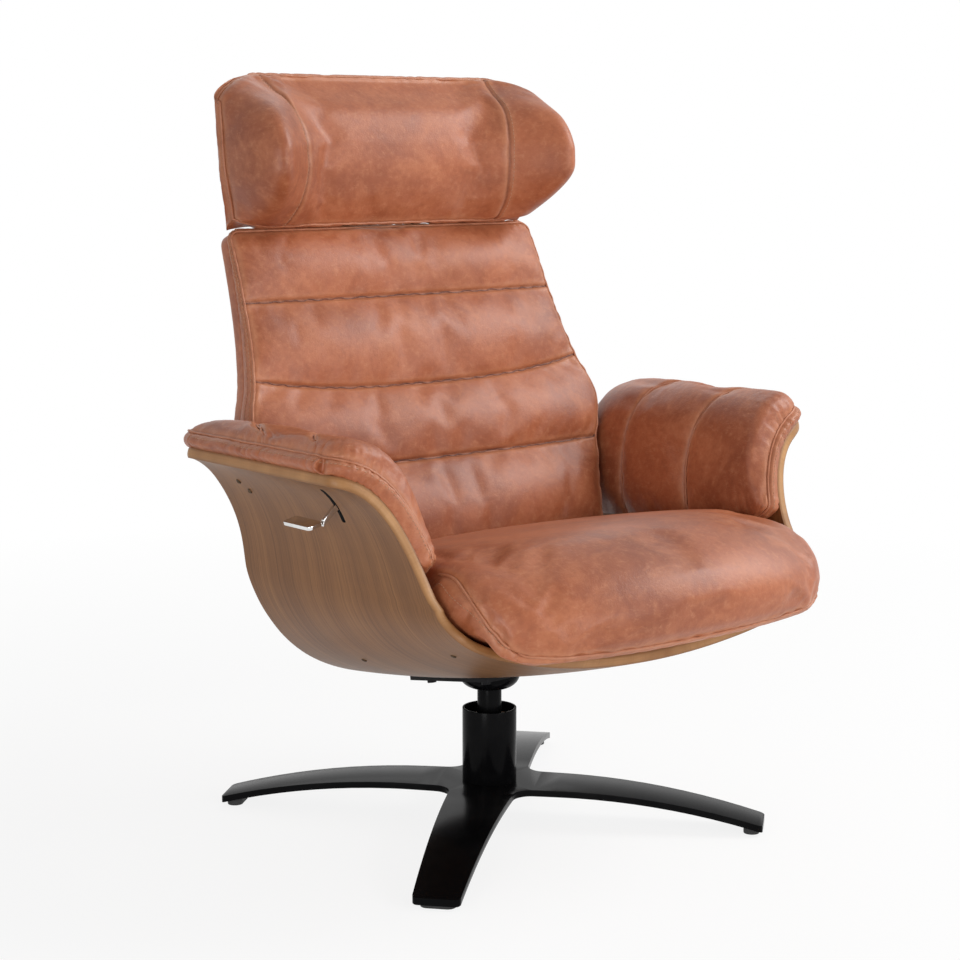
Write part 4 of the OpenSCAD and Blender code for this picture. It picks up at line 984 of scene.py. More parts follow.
@dataclass
class Upholstery:
    """Leather over foam: settles like cloth between its seams, then gets creases and gathers."""

    form: Form
    seams: list[Seam]
    pressure: float = 0.0
    slack: float = 0.0
    give: float = 0.0
    # How far a seam's painted crease shade reaches, in widths, where the band beside it lies that
    # is partly rubbed wear and partly painted highlight, and how the gathers rise beside it
    crease_shade_width: float = 0.55
    rub_highlight_at: float = 1.6
    rub_highlight_width: float = 5.0
    rub_highlight_share: float = 0.8
    gather_rise: float = 5.0
    gather_slant: float = 0.15
    gather_level: float = 0.35
    least_reach: float = 30.0

    def settle(self, piece: bpy.types.Object, held: Array, give: Array) -> None:
        """Lets the leather bulge and fold with a short cloth simulation.

        Args:
            piece: The padded piece.
            held: Whether each point is sewn down.
            give: The most that each point may move, in millimetres.
        """
        scene = bpy.context.scene
        start = coordinates(piece.data)
        group = piece.vertex_groups.new(name="held")
        group.add([int(i) for i in np.flatnonzero(held)], 1.0, "REPLACE")
        cloth = piece.modifiers.new("settle", "CLOTH")
        settings = cloth.settings
        for key, value in CLOTH.items():
            setattr(settings, key, value)
        settings.uniform_pressure_force, settings.shrink_min = self.pressure, -self.slack
        settings.effector_weights.gravity = 0
        cloth.point_cache.frame_start, cloth.point_cache.frame_end = 1, CLOTH_FRAMES
        for number in range(1, CLOTH_FRAMES + 1):
            scene.frame_set(number)
        depsgraph = bpy.context.evaluated_depsgraph_get()
        ended = coordinates(piece.evaluated_get(depsgraph).data)
        piece.modifiers.remove(cloth)
        piece.vertex_groups.clear()
        scene.frame_set(1)
        move = np.nan_to_num(ended - start)
        length = np.maximum(np.linalg.norm(move, axis=1), 1e-9)
        move *= np.minimum(1, give * MM / length)[:, None]
        set_coordinates(piece.data, start + move)

    def sew(self, piece: bpy.types.Object) -> None:
        """Presses in creases and gathers, and stores the painted shade in the creases and the band
        beside them that is partly rubbed wear and partly painted highlight.
        """
        mesh = piece.data
        points, out = coordinates(mesh), point_values(mesh.vertex_normals, "vector")
        dark, wear, sink = np.zeros((3, len(points)))
        for seam in self.seams:
            line = dense(seam.line)
            tree = KDTree(len(line))
            for i, point in enumerate(line):
                tree.insert(Vector(point * MM), i)
            tree.balance()
            far = max(4 * seam.reach, self.least_reach)
            low, high = (line.min(0) - far) * MM, (line.max(0) + far) * MM
            near = np.flatnonzero(((points > low) & (points < high)).all(1))
            found = [tree.find(Vector(points[i])) for i in near]
            gap = np.array([f[2] for f in found]) / MM
            run = np.array([f[1] for f in found]) * DENSE_STEP
            sink[near] -= seam.depth * np.exp(-((gap / seam.width) ** 2))
            if seam.gather:
                rise = np.minimum(gap / self.gather_rise, 1.0) * np.exp(-gap / seam.reach)
                folds = pleats(run + gap * self.gather_slant, seam.pitch, seam.seed)
                sink[near] += seam.gather * rise * (folds + self.gather_level)
            # Painted shade in the crease, and beside it a band that is partly rubbed wear and
            # partly painted highlight
            crease = seam.dark * np.exp(-((gap / (self.crease_shade_width * seam.width)) ** 2))
            rubbed_and_highlight = np.exp(-((gap - self.rub_highlight_at * seam.width) / self.rub_highlight_width) ** 2)
            dark[near] = np.maximum(dark[near], crease)
            wear[near] = np.maximum(wear[near], rubbed_and_highlight * self.rub_highlight_share)
        set_coordinates(mesh, points + out * sink[:, None] * MM)
        store(mesh, "seam", dark)
        store(mesh, "wear", wear)

    def make(self, name: str, held: Array,
             give: Callable[[Array], Array] | None = None) -> bpy.types.Object:
        """Makes the padded piece.

        Args:
            name: Name of the piece.
            held: Whether each point of the grids and the rim is sewn down.
            give: The most that each point may move, where that differs over the piece.

        Returns:
            The finished piece, not yet riding on a body.
        """
        piece = self.form.piece(name, [LEATHER])
        points = coordinates(piece.data) / MM
        self.settle(piece, held, give(points) if give else np.full(len(points), self.give))
        subdivide(piece)
        self.sew(piece)
        return piece


def front_marks(form: Form, rows: Sequence[int] = (), cols: Sequence[int] = ()) -> Array:
    """Which points of a form are sewn down: rows and columns of the front, its rim, the back."""
    shape = form.front.shape[:2]
    front = np.zeros(shape, bool)
    front[[0, -1, *rows], :] = True
    front[:, [0, -1, *cols]] = True
    ring = np.zeros(len(form.rim()) * form.rings, bool)
    return np.concatenate([front.ravel(), np.ones(front.size, bool), ring])


# The chair


@dataclass
class ShellForm:
    """Sizes and surface of the bent plywood shell, in millimetres."""

    floor_z: float = 208.0
    waist_z: float = 390.0
    flare_z: float = 537.0
    half: float = 326.0
    flare_half: float = 412.0
    ply: float = 14.0
    front: float = 340.0
    rear: float = 128.0
    rake: float = 10.0
    share: float = 0.6
    lean: float = 0.26
    corner_r: float = 20.0
    corner_share: float = 0.93
    floor_bow: float = 0.278
    flare_pull: tuple[float, float] = (0.41, 0.93)
    front_lean: float = 0.226
    # Reach of the front and of the rear edge at shares along the section
    front_places: Sequence[float] = (0, .133, .233, .3, .367, .433, .5, .6)
    front_reach: Sequence[float] = (.991, .997, 1.01, .99, .947, .916, .893, .841)
    rear_places: Sequence[float] = (0, .2, .4, .5, .6, .7, .84, 1)
    rear_reach: Sequence[float] = (1.09, 1.02, .82, .82, .92, .97, 1.06, 1.04)

    def floor_line(self, y: Any) -> Any:
        """Height of the middle of the floor."""
        rise = self.floor_bow * y * y / (4 * self.front)
        return self.floor_z - y * math.tan(math.radians(self.rake)) + rise

    def section(self, s: Any, y: Any, depth: Any) -> tuple[Array, Array]:
        """Width and height of the section at share s, inset by depth from its outside."""
        s, y, depth = (np.asarray(v, float) for v in np.broadcast_arrays(s, y, depth))
        a = np.radians(90 * np.minimum(s, self.share) / self.share)
        drop = self.waist_z - self.floor_line(y)
        t = np.clip((s - self.share) / (1 - self.share), 0, 1)
        px = [self.half, self.half, mix(self.half, self.flare_half, self.lean), self.flare_half]
        pz = [mix(self.waist_z, self.flare_z, share) for share in (0, *self.flare_pull, 1)]
        cubic = lambda p: (p[0] * (1 - t)**3 + p[1] * 3 * t * (1 - t)**2
                           + p[2] * 3 * t * t * (1 - t) + p[3] * t**3)
        slope = lambda p: ((p[1] - p[0]) * (1 - t)**2 + (p[2] - p[1]) * 2 * t * (1 - t)
                           + (p[3] - p[2]) * t * t)
        vx, vz = slope(px), slope(pz)
        size = np.hypot(vx, vz)
        low = s <= self.share
        x = np.where(low, (self.half - depth) * np.sin(a), cubic(px) - vz / size * depth)
        z = np.where(low, self.waist_z - (drop - depth) * np.cos(a), cubic(pz) + vx / size * depth)
        return x, z

    def corner(self, s: Any) -> Array:
        """Rounding of the corners of the flared arms."""
        return self.corner_r * rounding(self.corner_share, 1, s)

    def front_edge(self, s: Any) -> Array:
        """Depth of the front edge."""
        s = np.asarray(s, float)
        z = np.where(s <= self.share, self.waist_z, self.section(s, 0, 0)[1])
        f = np.clip((z - self.waist_z) / (self.flare_z - self.waist_z), 0, 1)
        reach = table_value(self.front_places, self.front_reach, np.minimum(s, self.share))
        return self.corner(s) + self.front * (self.front_lean * f**0.65 - reach)

    def rear_edge(self, s: Any) -> Array:
        """Depth of the rear edge."""
        return self.rear * table_value(self.rear_places, self.rear_reach, s) - self.corner(s)

    def floor_height(self, x: Array, y: Array) -> Array:
        """Height of the inside above the raked datum."""
        a = math.radians(self.rake)
        yw = y * math.cos(a) + self.ply * math.sin(a)
        drop = self.waist_z - self.floor_line(np.maximum(yw, -self.front)) - self.ply
        f = np.minimum(np.abs(x) / (self.half - self.ply), 0.999)
        z = self.waist_z - drop * np.sqrt(1 - f * f)
        return (z - self.floor_z + yw * math.tan(a)) * math.cos(a)


SHELL = ShellForm()


@dataclass
class PlywoodShell:
    """The bent walnut shell with its slot and screws."""

    floor_steps: int = 44
    flare_steps: int = 34
    flare_power: float = 1.7
    rows: int = 44
    round_by: float = 1.6
    grain_turn: float = 0.55
    slot_low: Sequence[float] = (-400.0, -134.0, 478.0)
    slot_high: Sequence[float] = (-300.0, -126.0, 523.0)
    slot_round: float = 2.5
    crease: float = 40.0
    # Share along the section, and depth as a share of the front
    screws: Sequence[tuple[float, float]] = (
        (0.375, -0.747), (0.307, -0.067), (0.828, 0.192), (0.86, 0.232))
    screw_r: float = 3.9
    # Share of the radius, height, and whether it is a hexagon, for each ring of a screw head
    head: Sequence[tuple[float, float, bool]] = (
        (0.42, 0.2, True), (0.46, 0.42, True), (0.62, 0.42, False), (0.9, 0.28, False),
        (1.0, 0.08, False), (0.98, -0.25, False))
    head_sides: int = 24

    def build(self) -> None:
        """Builds the shell and its screws."""
        flat = SHELL.share * np.linspace(0, 1, self.floor_steps + 1)
        left = 1 - np.linspace(0, 1, self.flare_steps + 1)[1:]
        half = np.concatenate([flat, 1 - (1 - SHELL.share) * left ** self.flare_power])
        signed = np.concatenate([-half[:0:-1], half])
        s, sign = np.abs(signed), np.where(signed < 0, -1.0, 1.0)
        r = np.linspace(0, 1, self.rows + 1)[:, None]
        y = mix(SHELL.rear_edge(s)[None], SHELL.front_edge(s)[None], r)
        grids = []
        for depth in (0.0, SHELL.ply):
            x, z = SHELL.section(s, y, depth)
            grids.append(np.stack([sign * x, y, z], -1))
        steps = np.linalg.norm(np.diff(grids[0][self.rows // 2], axis=0), axis=1)
        run = np.concatenate([[0], np.cumsum(steps)])
        depth = mix(mix(SHELL.rear, -SHELL.front, r), y, self.grain_turn)
        grain = np.stack([depth, np.broadcast_to(run, y.shape)], -1) * MM
        form = Form(*grids, rings=5, bulge=self.round_by, power=3)
        shell = form.piece("plywood_shell", [VENEER, PLY_EDGE], grain)
        # The slot's cut faces take the cutter's black lining: painted shade
        cut(shell, block("slot_cutter", self.slot_low, self.slot_high, self.slot_round))
        shell.data.set_sharp_from_angle(angle=math.radians(self.crease))
        settled_in(shell, Body.TURNTABLE, Slot.WALNUT, "shell")
        self.drive_screws()

    def drive_screws(self) -> None:
        """Sets the screws on both sides of the shell with a Geometry Nodes tree."""
        places, facings = [], []
        for share, depth in self.screws:
            y = depth * SHELL.front
            (xa, x, xb), (za, z, zb) = SHELL.section(share + np.array([-0.001, 0, 0.001]), y, 0)
            out = unit(np.array([zb - za, 0.0, xa - xb]))
            for side in (-1, 1):
                places.append([[side * x, y, z]])
                facings.append([side * out[0], 0.0, out[2]])
        template = self.screw()
        points = path_object("shell_screw_heads", places)
        facing = points.data.attributes.new("facing", "FLOAT_VECTOR", "POINT")
        facing.data.foreach_set("vector", np.array(facings, np.float32).ravel())
        SCREWS.run(points, Screw=template, Material=BRONZE.material())
        bpy.data.objects.remove(template)
        settled_in(points, Body.TURNTABLE, Slot.STEEL, "shell_screws")

    def screw(self) -> bpy.types.Object:
        """Domed head with a hexagon recess, turned about Z."""
        turn = 2 * math.pi * np.arange(self.head_sides) / self.head_sides
        sixth = math.pi / 6
        hexagon = math.cos(sixth) / np.cos(turn % (2 * sixth) - sixth)
        points, rings = [], []
        for share, height, cornered in self.head:
            r = share * (hexagon if cornered else 1.0)
            ring = np.stack([r * np.cos(turn), r * np.sin(turn), np.full(len(turn), height)], -1)
            rings.append([len(points) + k for k in range(len(turn))])
            points.extend(ring * self.screw_r)
        faces = [[a[k], a[k - 1], b[k - 1], b[k]] for a, b in zip(rings, rings[1:])
                 for k in range(len(turn))]
        return piece_of("screw_template", np.array(points), [*faces, rings[0], rings[-1]], [SATIN])


@dataclass
class ArmPads:
    """Upholstered arms inside the flare of the shell."""

    edge_t: float = 20.0
    wall_t: float = 30.0
    flare_t: float = 50.0
    rear_gap: float = 12.0
    columns: int = 36
    column_power: float = 1.35
    steps: Sequence[int] = (24, 24, 42)
    edge_swell: float = 6.0
    seam_swell: float = 2.5
    overhang: float = 11.0
    tuck: float = 92.0
    tuck_share: float = 0.27
    nose: float = 14.0
    nose_share: float = 0.9
    top_share: float = 0.84
    front_round: float = 24.0
    rear_round: float = 150.0
    stitch_share: float = 0.28
    stitch_lift: float = 0.3
    piping_lift_share: float = 0.5
    welt_r: float = 1.7
    # Columns by which the seams across the pad end short of its edge
    seam_short: int = 3
    cavity_low: Sequence[float] = (-483, -150, 470)
    cavity_high: Sequence[float] = (-305, -110, 525)
    cavity_round: float = 3.0
    # Share up the pad, and depth of the rear and of the front seam there
    seam_shares: Sequence[float] = (0, .1, .22, .37, .5, .63, .75, .83, .88, .93, 1)
    rear_seam: Sequence[float] = (31, 33, 36, 40, 44, 41, 38, 33, 23, 0, -52)
    front_seam: Sequence[float] = (-105, -102, -98, -91, -89, -93, -98, -104, -109, -122, -160)

    def thickness(self, g: Array, f: Array, length: Array) -> Array:
        """Thickness of the pad at share g up it and share f along its length."""
        full = table_value(
            [0, .17, .45, .7, .875, 1],
            [self.edge_t, self.wall_t, mix(self.wall_t, self.flare_t, .35), self.flare_t,
             mix(self.wall_t, self.flare_t, .9), self.edge_t], g)
        top = mix(self.edge_t, self.flare_t - 1.0, 1 - rounding(self.top_share, 1, g))
        full = np.where(g > self.top_share, top, full)
        front = 1 - rounding(self.front_round, 0, (1 - f) * length)
        rear = 1 - rounding(self.rear_round, 0, f * length)
        return mix(self.edge_t, full, front * rear)

    def form(self) -> tuple[Form, list[int]]:
        """Form of the right pad, and the rows where its seams run."""
        g = 1 - (1 - np.linspace(0, 1, self.columns + 1)) ** self.column_power
        s = mix(SHELL.share, 1, g)
        nose = self.nose * rounding(self.nose_share, 1, g)
        rear = SHELL.rear_edge(s) + self.rear_gap - nose
        front = SHELL.front_edge(s) + self.tuck * (1 - smooth(0, self.tuck_share, g)) + nose
        w = clustered([0, 1, 2, 3], self.steps, 0.8)[:, None]
        seams = (table_value(self.seam_shares, seam, g)
                 for seam in (self.rear_seam, self.front_seam))
        lines = np.array([rear, *seams, front])
        i = np.minimum(np.floor(w).astype(int), 2)
        y = mix(lines[i[:, 0]], lines[i[:, 0] + 1], w - i)
        f = np.clip((y - rear) / (front - rear), 0, 1)
        swell = self.seam_swell * np.abs(np.sin(np.pi * w)) ** 0.6 * np.sin(np.pi * g) ** 0.5
        thick = self.thickness(g, f, rear - front) + swell
        grids = []
        for inner in (1, 0):
            x, z = SHELL.section(s, y, SHELL.ply + inner * thick)
            grids.append(np.stack([x, y, z], -1))
        top = self.overhang * g[-2::-1] ** 0.5 * 0.8
        proud = rim_values(*y.shape, self.edge_swell, self.overhang, top, 0.0)
        return Form(*grids, rings=4, bulge=proud), [self.steps[0], self.steps[0] + self.steps[1]]

    def build(self) -> None:
        """Builds both pads."""
        right, rows = self.form()
        for sign, label in ((1, "right"), (-1, "left")):
            side = np.array([sign, 1.0, 1.0])
            form = Form(right.front * side, right.back * side, right.rings, right.bulge)
            lines = [form.front[row, :-self.seam_short] for row in rows]
            seams = [Seam(line, 2.2, 3.4, dark=0.55) for line in lines]
            for part, reach, pitch, seed in ((Part.LAST_COLUMN, 24, 15, 2.0),
                                             (Part.LAST_ROW, 26, 14, 5.0)):
                seams.append(Seam(form.span(0.0, part), 1.8, 3.0, gather=3.8, reach=reach,
                                  pitch=pitch, seed=seed + sign, dark=0.55))
            work = Upholstery(form, seams, pressure=2.5, slack=0.018, give=4.0)
            pad = work.make(f"arm_{label}_leather", front_marks(form, rows=rows))
            welts = [seated(line, pad, self.welt_r * WELT_LIFT_SHARE) for line in lines]
            rim = form.span(0.0, Part.FIRST_ROW, Part.LAST_COLUMN, Part.LAST_ROW)
            piping = seated(rim, pad, self.welt_r * self.piping_lift_share)
            facing = form.span(self.stitch_share, Part.LAST_COLUMN, Part.LAST_ROW)
            facing = seated(facing, pad, self.stitch_lift)
            if sign < 0:
                # The lever cavity's cut faces take the cutter's black lining: painted shade
                cut(pad, block("cavity_cutter", self.cavity_low, self.cavity_high,
                               self.cavity_round))
            settled_in(pad, Body.TURNTABLE, Slot.LEATHER, f"arm_pad_{label}", fill=0.75)
            trim(f"arm_{label}_piping", Body.TURNTABLE, [piping], self.welt_r)
            trim(f"arm_{label}_welts", Body.TURNTABLE, welts, self.welt_r * WELT_SHARE)
            trim(f"arm_{label}_stitches", Body.TURNTABLE, [facing])


Line = Sequence[tuple[float, float]]


@dataclass
class Seat:
    """Seat cushion with its front roll, side panels and piping."""

    rear: float = -3.0
    reach: float = 447.0
    bow: float = 62.0
    deck: float = 68.0
    thick: float = 118.0
    waist: float = 278.0
    crown: float = 10.0
    lift: float = 0.09
    # Width of the rounding beside the sewn edge, behind and in the roll
    edge_round: tuple[float, float] = (20.0, 62.0)
    wrap: float = 0.065
    wrap_within: float = 0.86
    rows: int = 84
    columns: int = 76
    hidden: float = 0.4
    free_from: float = 0.9
    welt_r: float = 1.9
    stitch_share: float = 0.16
    stitch_end: int = 8
    side_swell: float = 25.0
    front_swell: float = 2.0
    rear_gap: float = 7.0
    front_gap: float = 4.0
    front_sag: float = 14.0
    sag_from: tuple[float, float] = (350.0, 372.0)
    least: float = 5.0
    # How far the leather may move: at least, and more in the roll and between the arms
    least_give: float = 0.8
    more_give: float = 5.0
    roll_give_share: float = 0.6
    roll_from: tuple[float, float] = (-300.0, -335.0)
    arms_from: tuple[float, float] = (265.0, 225.0)
    # Share of the length and of the thickness along the middle and along the sewn edge
    top_middle: Line = (
        (0, .97), (.16, 1), (.36, 1.01), (.55, 1.0), (.70, .96), (.83, .85), (.92, .67),
        (.977, .42), (1, .16), (.985, -.06), (.935, -.19))
    top_edge: Line = (
        (0, .80), (.16, .83), (.36, .84), (.55, .84), (.70, .85), (.785, .80), (.857, .66),
        (.906, .486), (.953, .235), (.978, .11), (.992, .02))
    under_middle: Line = (
        (.065, 0), (.25, 0), (.45, 0), (.60, 0), (.70, -.02), (.77, -.06), (.83, -.11),
        (.88, -.16), (.915, -.195))
    under_edge: Line = (
        (.065, 0), (.25, 0), (.45, 0), (.60, 0), (.70, 0), (.80, 0), (.88, 0), (.95, 0),
        (.985, -.03))
    width_places: Sequence[float] = (0, .6, .72, .785, .857, .906, .953, .978, .992)
    widths: Sequence[float] = (278, 278, 277, 281, 289, 289, 283, 274, 259)

    def face(self, middle: Line, edge: Line, v: Array, u: Array) -> Array:
        """Upper or lower face in the raked frame.

        Args:
            middle: Its line along the middle, as shares of length and thickness.
            edge: Its line along the sides.
            v: Share along both lines.
            u: Share across, from -1 to 1.

        Returns:
            Its points.
        """
        inner, outer = curve_points(middle, v), curve_points(edge, v)
        w = rounding(mix(*self.edge_round, smooth(.5, .85, v)), 0, (1 - np.abs(u)) * self.waist)
        turn_in = np.clip(np.abs(u) / self.wrap_within, 0, 1) ** 2 * smooth(.82, 1, v) * self.wrap
        f = mix(np.minimum(inner[..., 0] + turn_in, 1.0), outer[..., 0], w)
        lift = self.lift * u * u * smooth(.78, 1, v) * (1 - w)
        height = self.deck + (mix(inner[..., 1], outer[..., 1], w) + lift) * self.thick
        tip = self.bow * np.abs(u) ** 2.6 - self.reach
        half = table_value(self.width_places, self.widths, outer[..., 0])
        return np.stack(np.broadcast_arrays(u * half, mix(self.rear, tip, f), height), -1)

    def form(self) -> Form:
        """Form of the cushion."""
        v, u = np.linspace(0, 1, self.rows + 1)[:, None], across(self.columns)
        high = self.face(self.top_middle, self.top_edge, v, u)
        low = self.face(self.under_middle, self.under_edge, v, u)
        x, y, z = np.moveaxis(low, -1, 0)
        gap = mix(self.rear_gap, self.front_gap, smooth(.7, .9, v))
        sag = self.front_sag * smooth(*self.sag_from, -y)
        low[..., 2] = np.maximum(z, SHELL.floor_height(x, y) + gap - sag)
        high[..., 2] += self.crown * (1 - u * u) * (1 - smooth(.55, .85, v))
        high[..., 2] = np.maximum(high[..., 2], low[..., 2] + self.least)
        f = curve_points(self.top_edge, v[:, 0])[:, 0]
        side = self.side_swell * smooth(.60, .70, f) * (1 - .92 * smooth(.79, .95, f))
        swell = rim_values(len(v), u.size, 0.0, side[1:], self.front_swell, side[-2:0:-1])
        origin = (0, 0, SHELL.floor_z)
        high, low = (turned(grid, SHELL.rake, origin) for grid in (high, low))
        return Form(high, low, rings=6, bulge=swell)

    def build(self) -> None:
        """Builds the cushion, its piping and its stitches."""
        form = self.form()
        hidden = int(self.rows * self.hidden)
        line = form.span(0.0, Part.LAST_COLUMN, Part.LAST_ROW, Part.FIRST_COLUMN)[hidden:-hidden]
        seams = [Seam(line, 1.4, 3.0, gather=1.0, reach=14, pitch=21, seed=4.0)]
        work = Upholstery(form, seams, pressure=2.4, slack=0.012)
        cushion = work.make("seat_leather", self.held(form), self.give)
        piping = seated(line, cushion, self.welt_r * PIPING_LIFT_SHARE)
        end = self.stitch_end
        panels = [seated(form.span(self.stitch_share, part)[shown], cushion, STITCH_LIFT)
                  for part, shown in ((Part.LAST_COLUMN, slice(hidden, -end)),
                                      (Part.FIRST_COLUMN, slice(end, -hidden)))]
        settled_in(cushion, Body.SEAT, Slot.LEATHER, "seat_cushion", fill=0.85)
        trim("seat_piping", Body.SEAT, [piping], self.welt_r)
        trim("seat_stitches", Body.SEAT, panels)

    def held(self, form: Form) -> Array:
        """Points of the cushion that are sewn or glued down: its seam, underside and rear."""
        marks = front_marks(form)
        rows, cols = form.front.shape[:2]
        below = marks[rows * cols:2 * rows * cols].reshape(rows, cols)
        below[int(rows * self.free_from):-1] = False
        return marks

    def give(self, points: Array) -> Array:
        """How far each point may move: little beside the arms."""
        free = smooth(*self.roll_from, points[:, 1])
        inside = smooth(*self.arms_from, np.abs(points[:, 0]))
        return self.least_give + self.more_give * np.maximum(free * self.roll_give_share, inside)


@dataclass
class Back:
    """Reclining back: cushion in four sewn sections and its upholstered cover."""

    origin: Sequence[float] = (0.0, 80.6, 331.0)
    lean: float = 19.2
    low: float = 38.0
    top: float = 512.0
    shoulder: float = 309.0
    corner: float = 13.0
    depth_low: float = 64.0
    depth_top: float = 19.0
    crown: float = 14.0
    dip: float = 23.0
    board: float = -11.0
    rear: float = 12.0
    side_t: float = 3.0
    rear_t: float = 8.5
    cover_bow: float = 6.0
    cover_round: float = 7.0
    side_swell: float = 2.5
    top_swell: float = 4.5
    channels: Sequence[float] = (0, .28, .551, .783, 1)
    dips: Sequence[float] = (0, .18, 1, .06, 0)
    steps: Sequence[int] = (15, 15, 14, 14)
    columns: int = 70
    cover_rows: int = 34
    cover_columns: int = 30
    cover_narrow: float = 0.965
    bow_inset: float = 8.0
    # Where the cover turns in at the top: start, drop of each row, and its share of the depth
    lip: float = 3.0
    lip_drops: Sequence[float] = (1.2, 0.2, 0.0)
    lip_shares: Sequence[float] = (0.8, 0.45, 0.0)
    # Columns of the cover's seams and stitches, and rows by which they end short of the top
    cover_seams: tuple[int, int] = (5, -6)
    cover_stitches: tuple[int, int] = (7, -8)
    cover_short: int = 4
    stitch_shares: tuple[float, float] = (0.22, 0.5)
    # Radius and sink of the dark lines of painted shade in the channel seams
    seam_shade_r: float = 1.0
    seam_shade_sink: float = 0.35
    welt_r: float = 1.7

    def half_width(self, z: Any) -> Array:
        """Half width of the back at a height up the board."""
        shape = table_value([.068, .33, .46, .577, .69, .8, .9, 1],
                            [.812, .92, 1, .94, .904, .884, .874, .868], z / self.top)
        return self.shoulder * shape - self.corner * rounding(self.top - self.corner, self.top, z)

    def place(self, points: Array) -> Array:
        """Points of the board's own frame, set in the chair."""
        return turned(points, self.lean, self.origin)

    def cushion_form(self) -> Form:
        """Form of the cushion."""
        known = np.array(self.channels)
        f, u = clustered(known, self.steps, 0.9)[:, None], across(self.columns)
        dip = self.dip * table_value(known, self.dips, f) * (1 - np.abs(u) ** 2.8)
        i = np.clip(np.searchsorted(known, f, side="right") - 1, 0, 3)
        v = (f - known[i]) / (known[i + 1] - known[i])
        flat = mix(self.low, self.top, f)
        edge = np.maximum(1 - np.abs(u) ** 5, 0) ** 0.7
        bulge = self.crown * np.maximum(np.sin(np.pi * v), 0) ** 0.6 * edge
        depth = mix(self.depth_low, self.depth_top, flat / self.top)
        x, z = u * self.half_width(flat), flat - dip
        grids = [self.place(np.stack(np.broadcast_arrays(x, y, z), -1))
                 for y in (-depth - bulge, self.board)]
        swell = rim_values(*z.shape, 0.0, self.side_swell, self.top_swell, self.side_swell)
        return Form(*grids, rings=4, bulge=swell)

    def cover_form(self) -> Form:
        """Form of the leather cover, which wraps the sides, the rear and the top."""
        z = np.concatenate([clustered([self.low, self.top - self.lip], [self.cover_rows], 0.6),
                            self.top - np.array(self.lip_drops)])
        lids = [1.0] * (len(z) - len(self.lip_shares)) + [*self.lip_shares]
        shares = across(self.cover_columns)[0, 1:-1]
        grids = []
        for inset, rear in ((0.0, self.rear), (self.side_t, self.rear - self.rear_t)):
            rows = []
            for height, lid in zip(z, lids):
                level = min(height, self.top - inset)
                half = float(self.half_width(level)) - inset
                back, rim = mix(self.board + 1.0, rear, lid), self.cover_round * lid
                rise = math.sin(math.pi * (height - self.low) / (self.top - self.low))
                bow = self.cover_bow * (1.0 - inset / self.bow_inset) * lid * max(rise, 0) ** 0.6
                path = [(-half, mix(self.board, back - rim, share)) for share in (0, 0.5, 1)]
                path += [(rim * (1 - math.cos(a)) - half, back - rim + rim * math.sin(a))
                         for a in (0.5, 1.0, 1.4)]
                turned_back = [(-x, y) for x, y in path[::-1]]
                path += [(half * q * self.cover_narrow, back + bow * (1 - q * q) ** 0.8)
                         for q in shares]
                rows.append([(x, y, level) for x, y in path + turned_back])
            grids.append(self.place(np.array(rows)))
        return Form(*grids, rings=1)

    def build(self) -> None:
        """Builds the cushion, its piping and stitching, the dark lines of painted shade in its
        channel seams, and the cover.
        """
        form = self.cushion_form()
        inner = [int(row) for row in np.cumsum(self.steps)[:-1]]
        seams = [Seam(form.front[row], 3.0, 2.8, gather=0.9, reach=18, pitch=34, seed=1.0 + row)
                 for row in inner]
        edge = form.span(0.0, *Part)
        seams.append(Seam(edge, 1.4, 3.2, gather=2.4, reach=15, pitch=17, seed=7.0))
        work = Upholstery(form, seams, pressure=2.6, slack=0.011, give=5.0)
        cushion = work.make("back_leather", front_marks(form, rows=inner))
        piping = seated(edge, cushion, self.welt_r * PIPING_LIFT_SHARE)
        panels = [seated(form.span(share, part), cushion, STITCH_LIFT)
                  for share in self.stitch_shares
                  for part in (Part.LAST_COLUMN, Part.FIRST_COLUMN)]
        # Dark lines sunk into the channel seams: painted shade in the creases
        lines = [seated(form.front[row], cushion, -self.seam_shade_sink) for row in inner]
        trim("back_seam_lines", Body.BACK, lines, self.seam_shade_r, SEAM_SHADE)
        settled_in(cushion, Body.BACK, Slot.LEATHER, "back_cushion", fill=0.8)
        trim("back_piping", Body.BACK, [piping[:-1]], self.welt_r, closed=True)
        trim("back_stitches", Body.BACK, panels)
        self.build_cover()

    def build_cover(self) -> None:
        """Builds the leather cover of the rear, with its seams."""
        form = self.cover_form()
        shown = form.front[:-self.cover_short]
        lines = [shown[:, column] for column in self.cover_seams]
        seams = [Seam(line, 1.2, 3.0, gather=0.8, reach=14, pitch=26, seed=3.0)
                 for line in lines]
        cover = form.piece("back_cover_leather", [LEATHER])
        subdivide(cover)
        Upholstery(form, seams).sew(cover)
        welts = [seated(line, cover, self.welt_r * WELT_LIFT_SHARE) for line in lines]
        beside = [seated(shown[:, column], cover, STITCH_LIFT) for column in self.cover_stitches]
        settled_in(cover, Body.BACK, Slot.LEATHER, "back_cover", fill=0.4)
        trim("back_cover_piping", Body.BACK, welts, self.welt_r * WELT_SHARE)
        trim("back_cover_stitches", Body.BACK, beside)


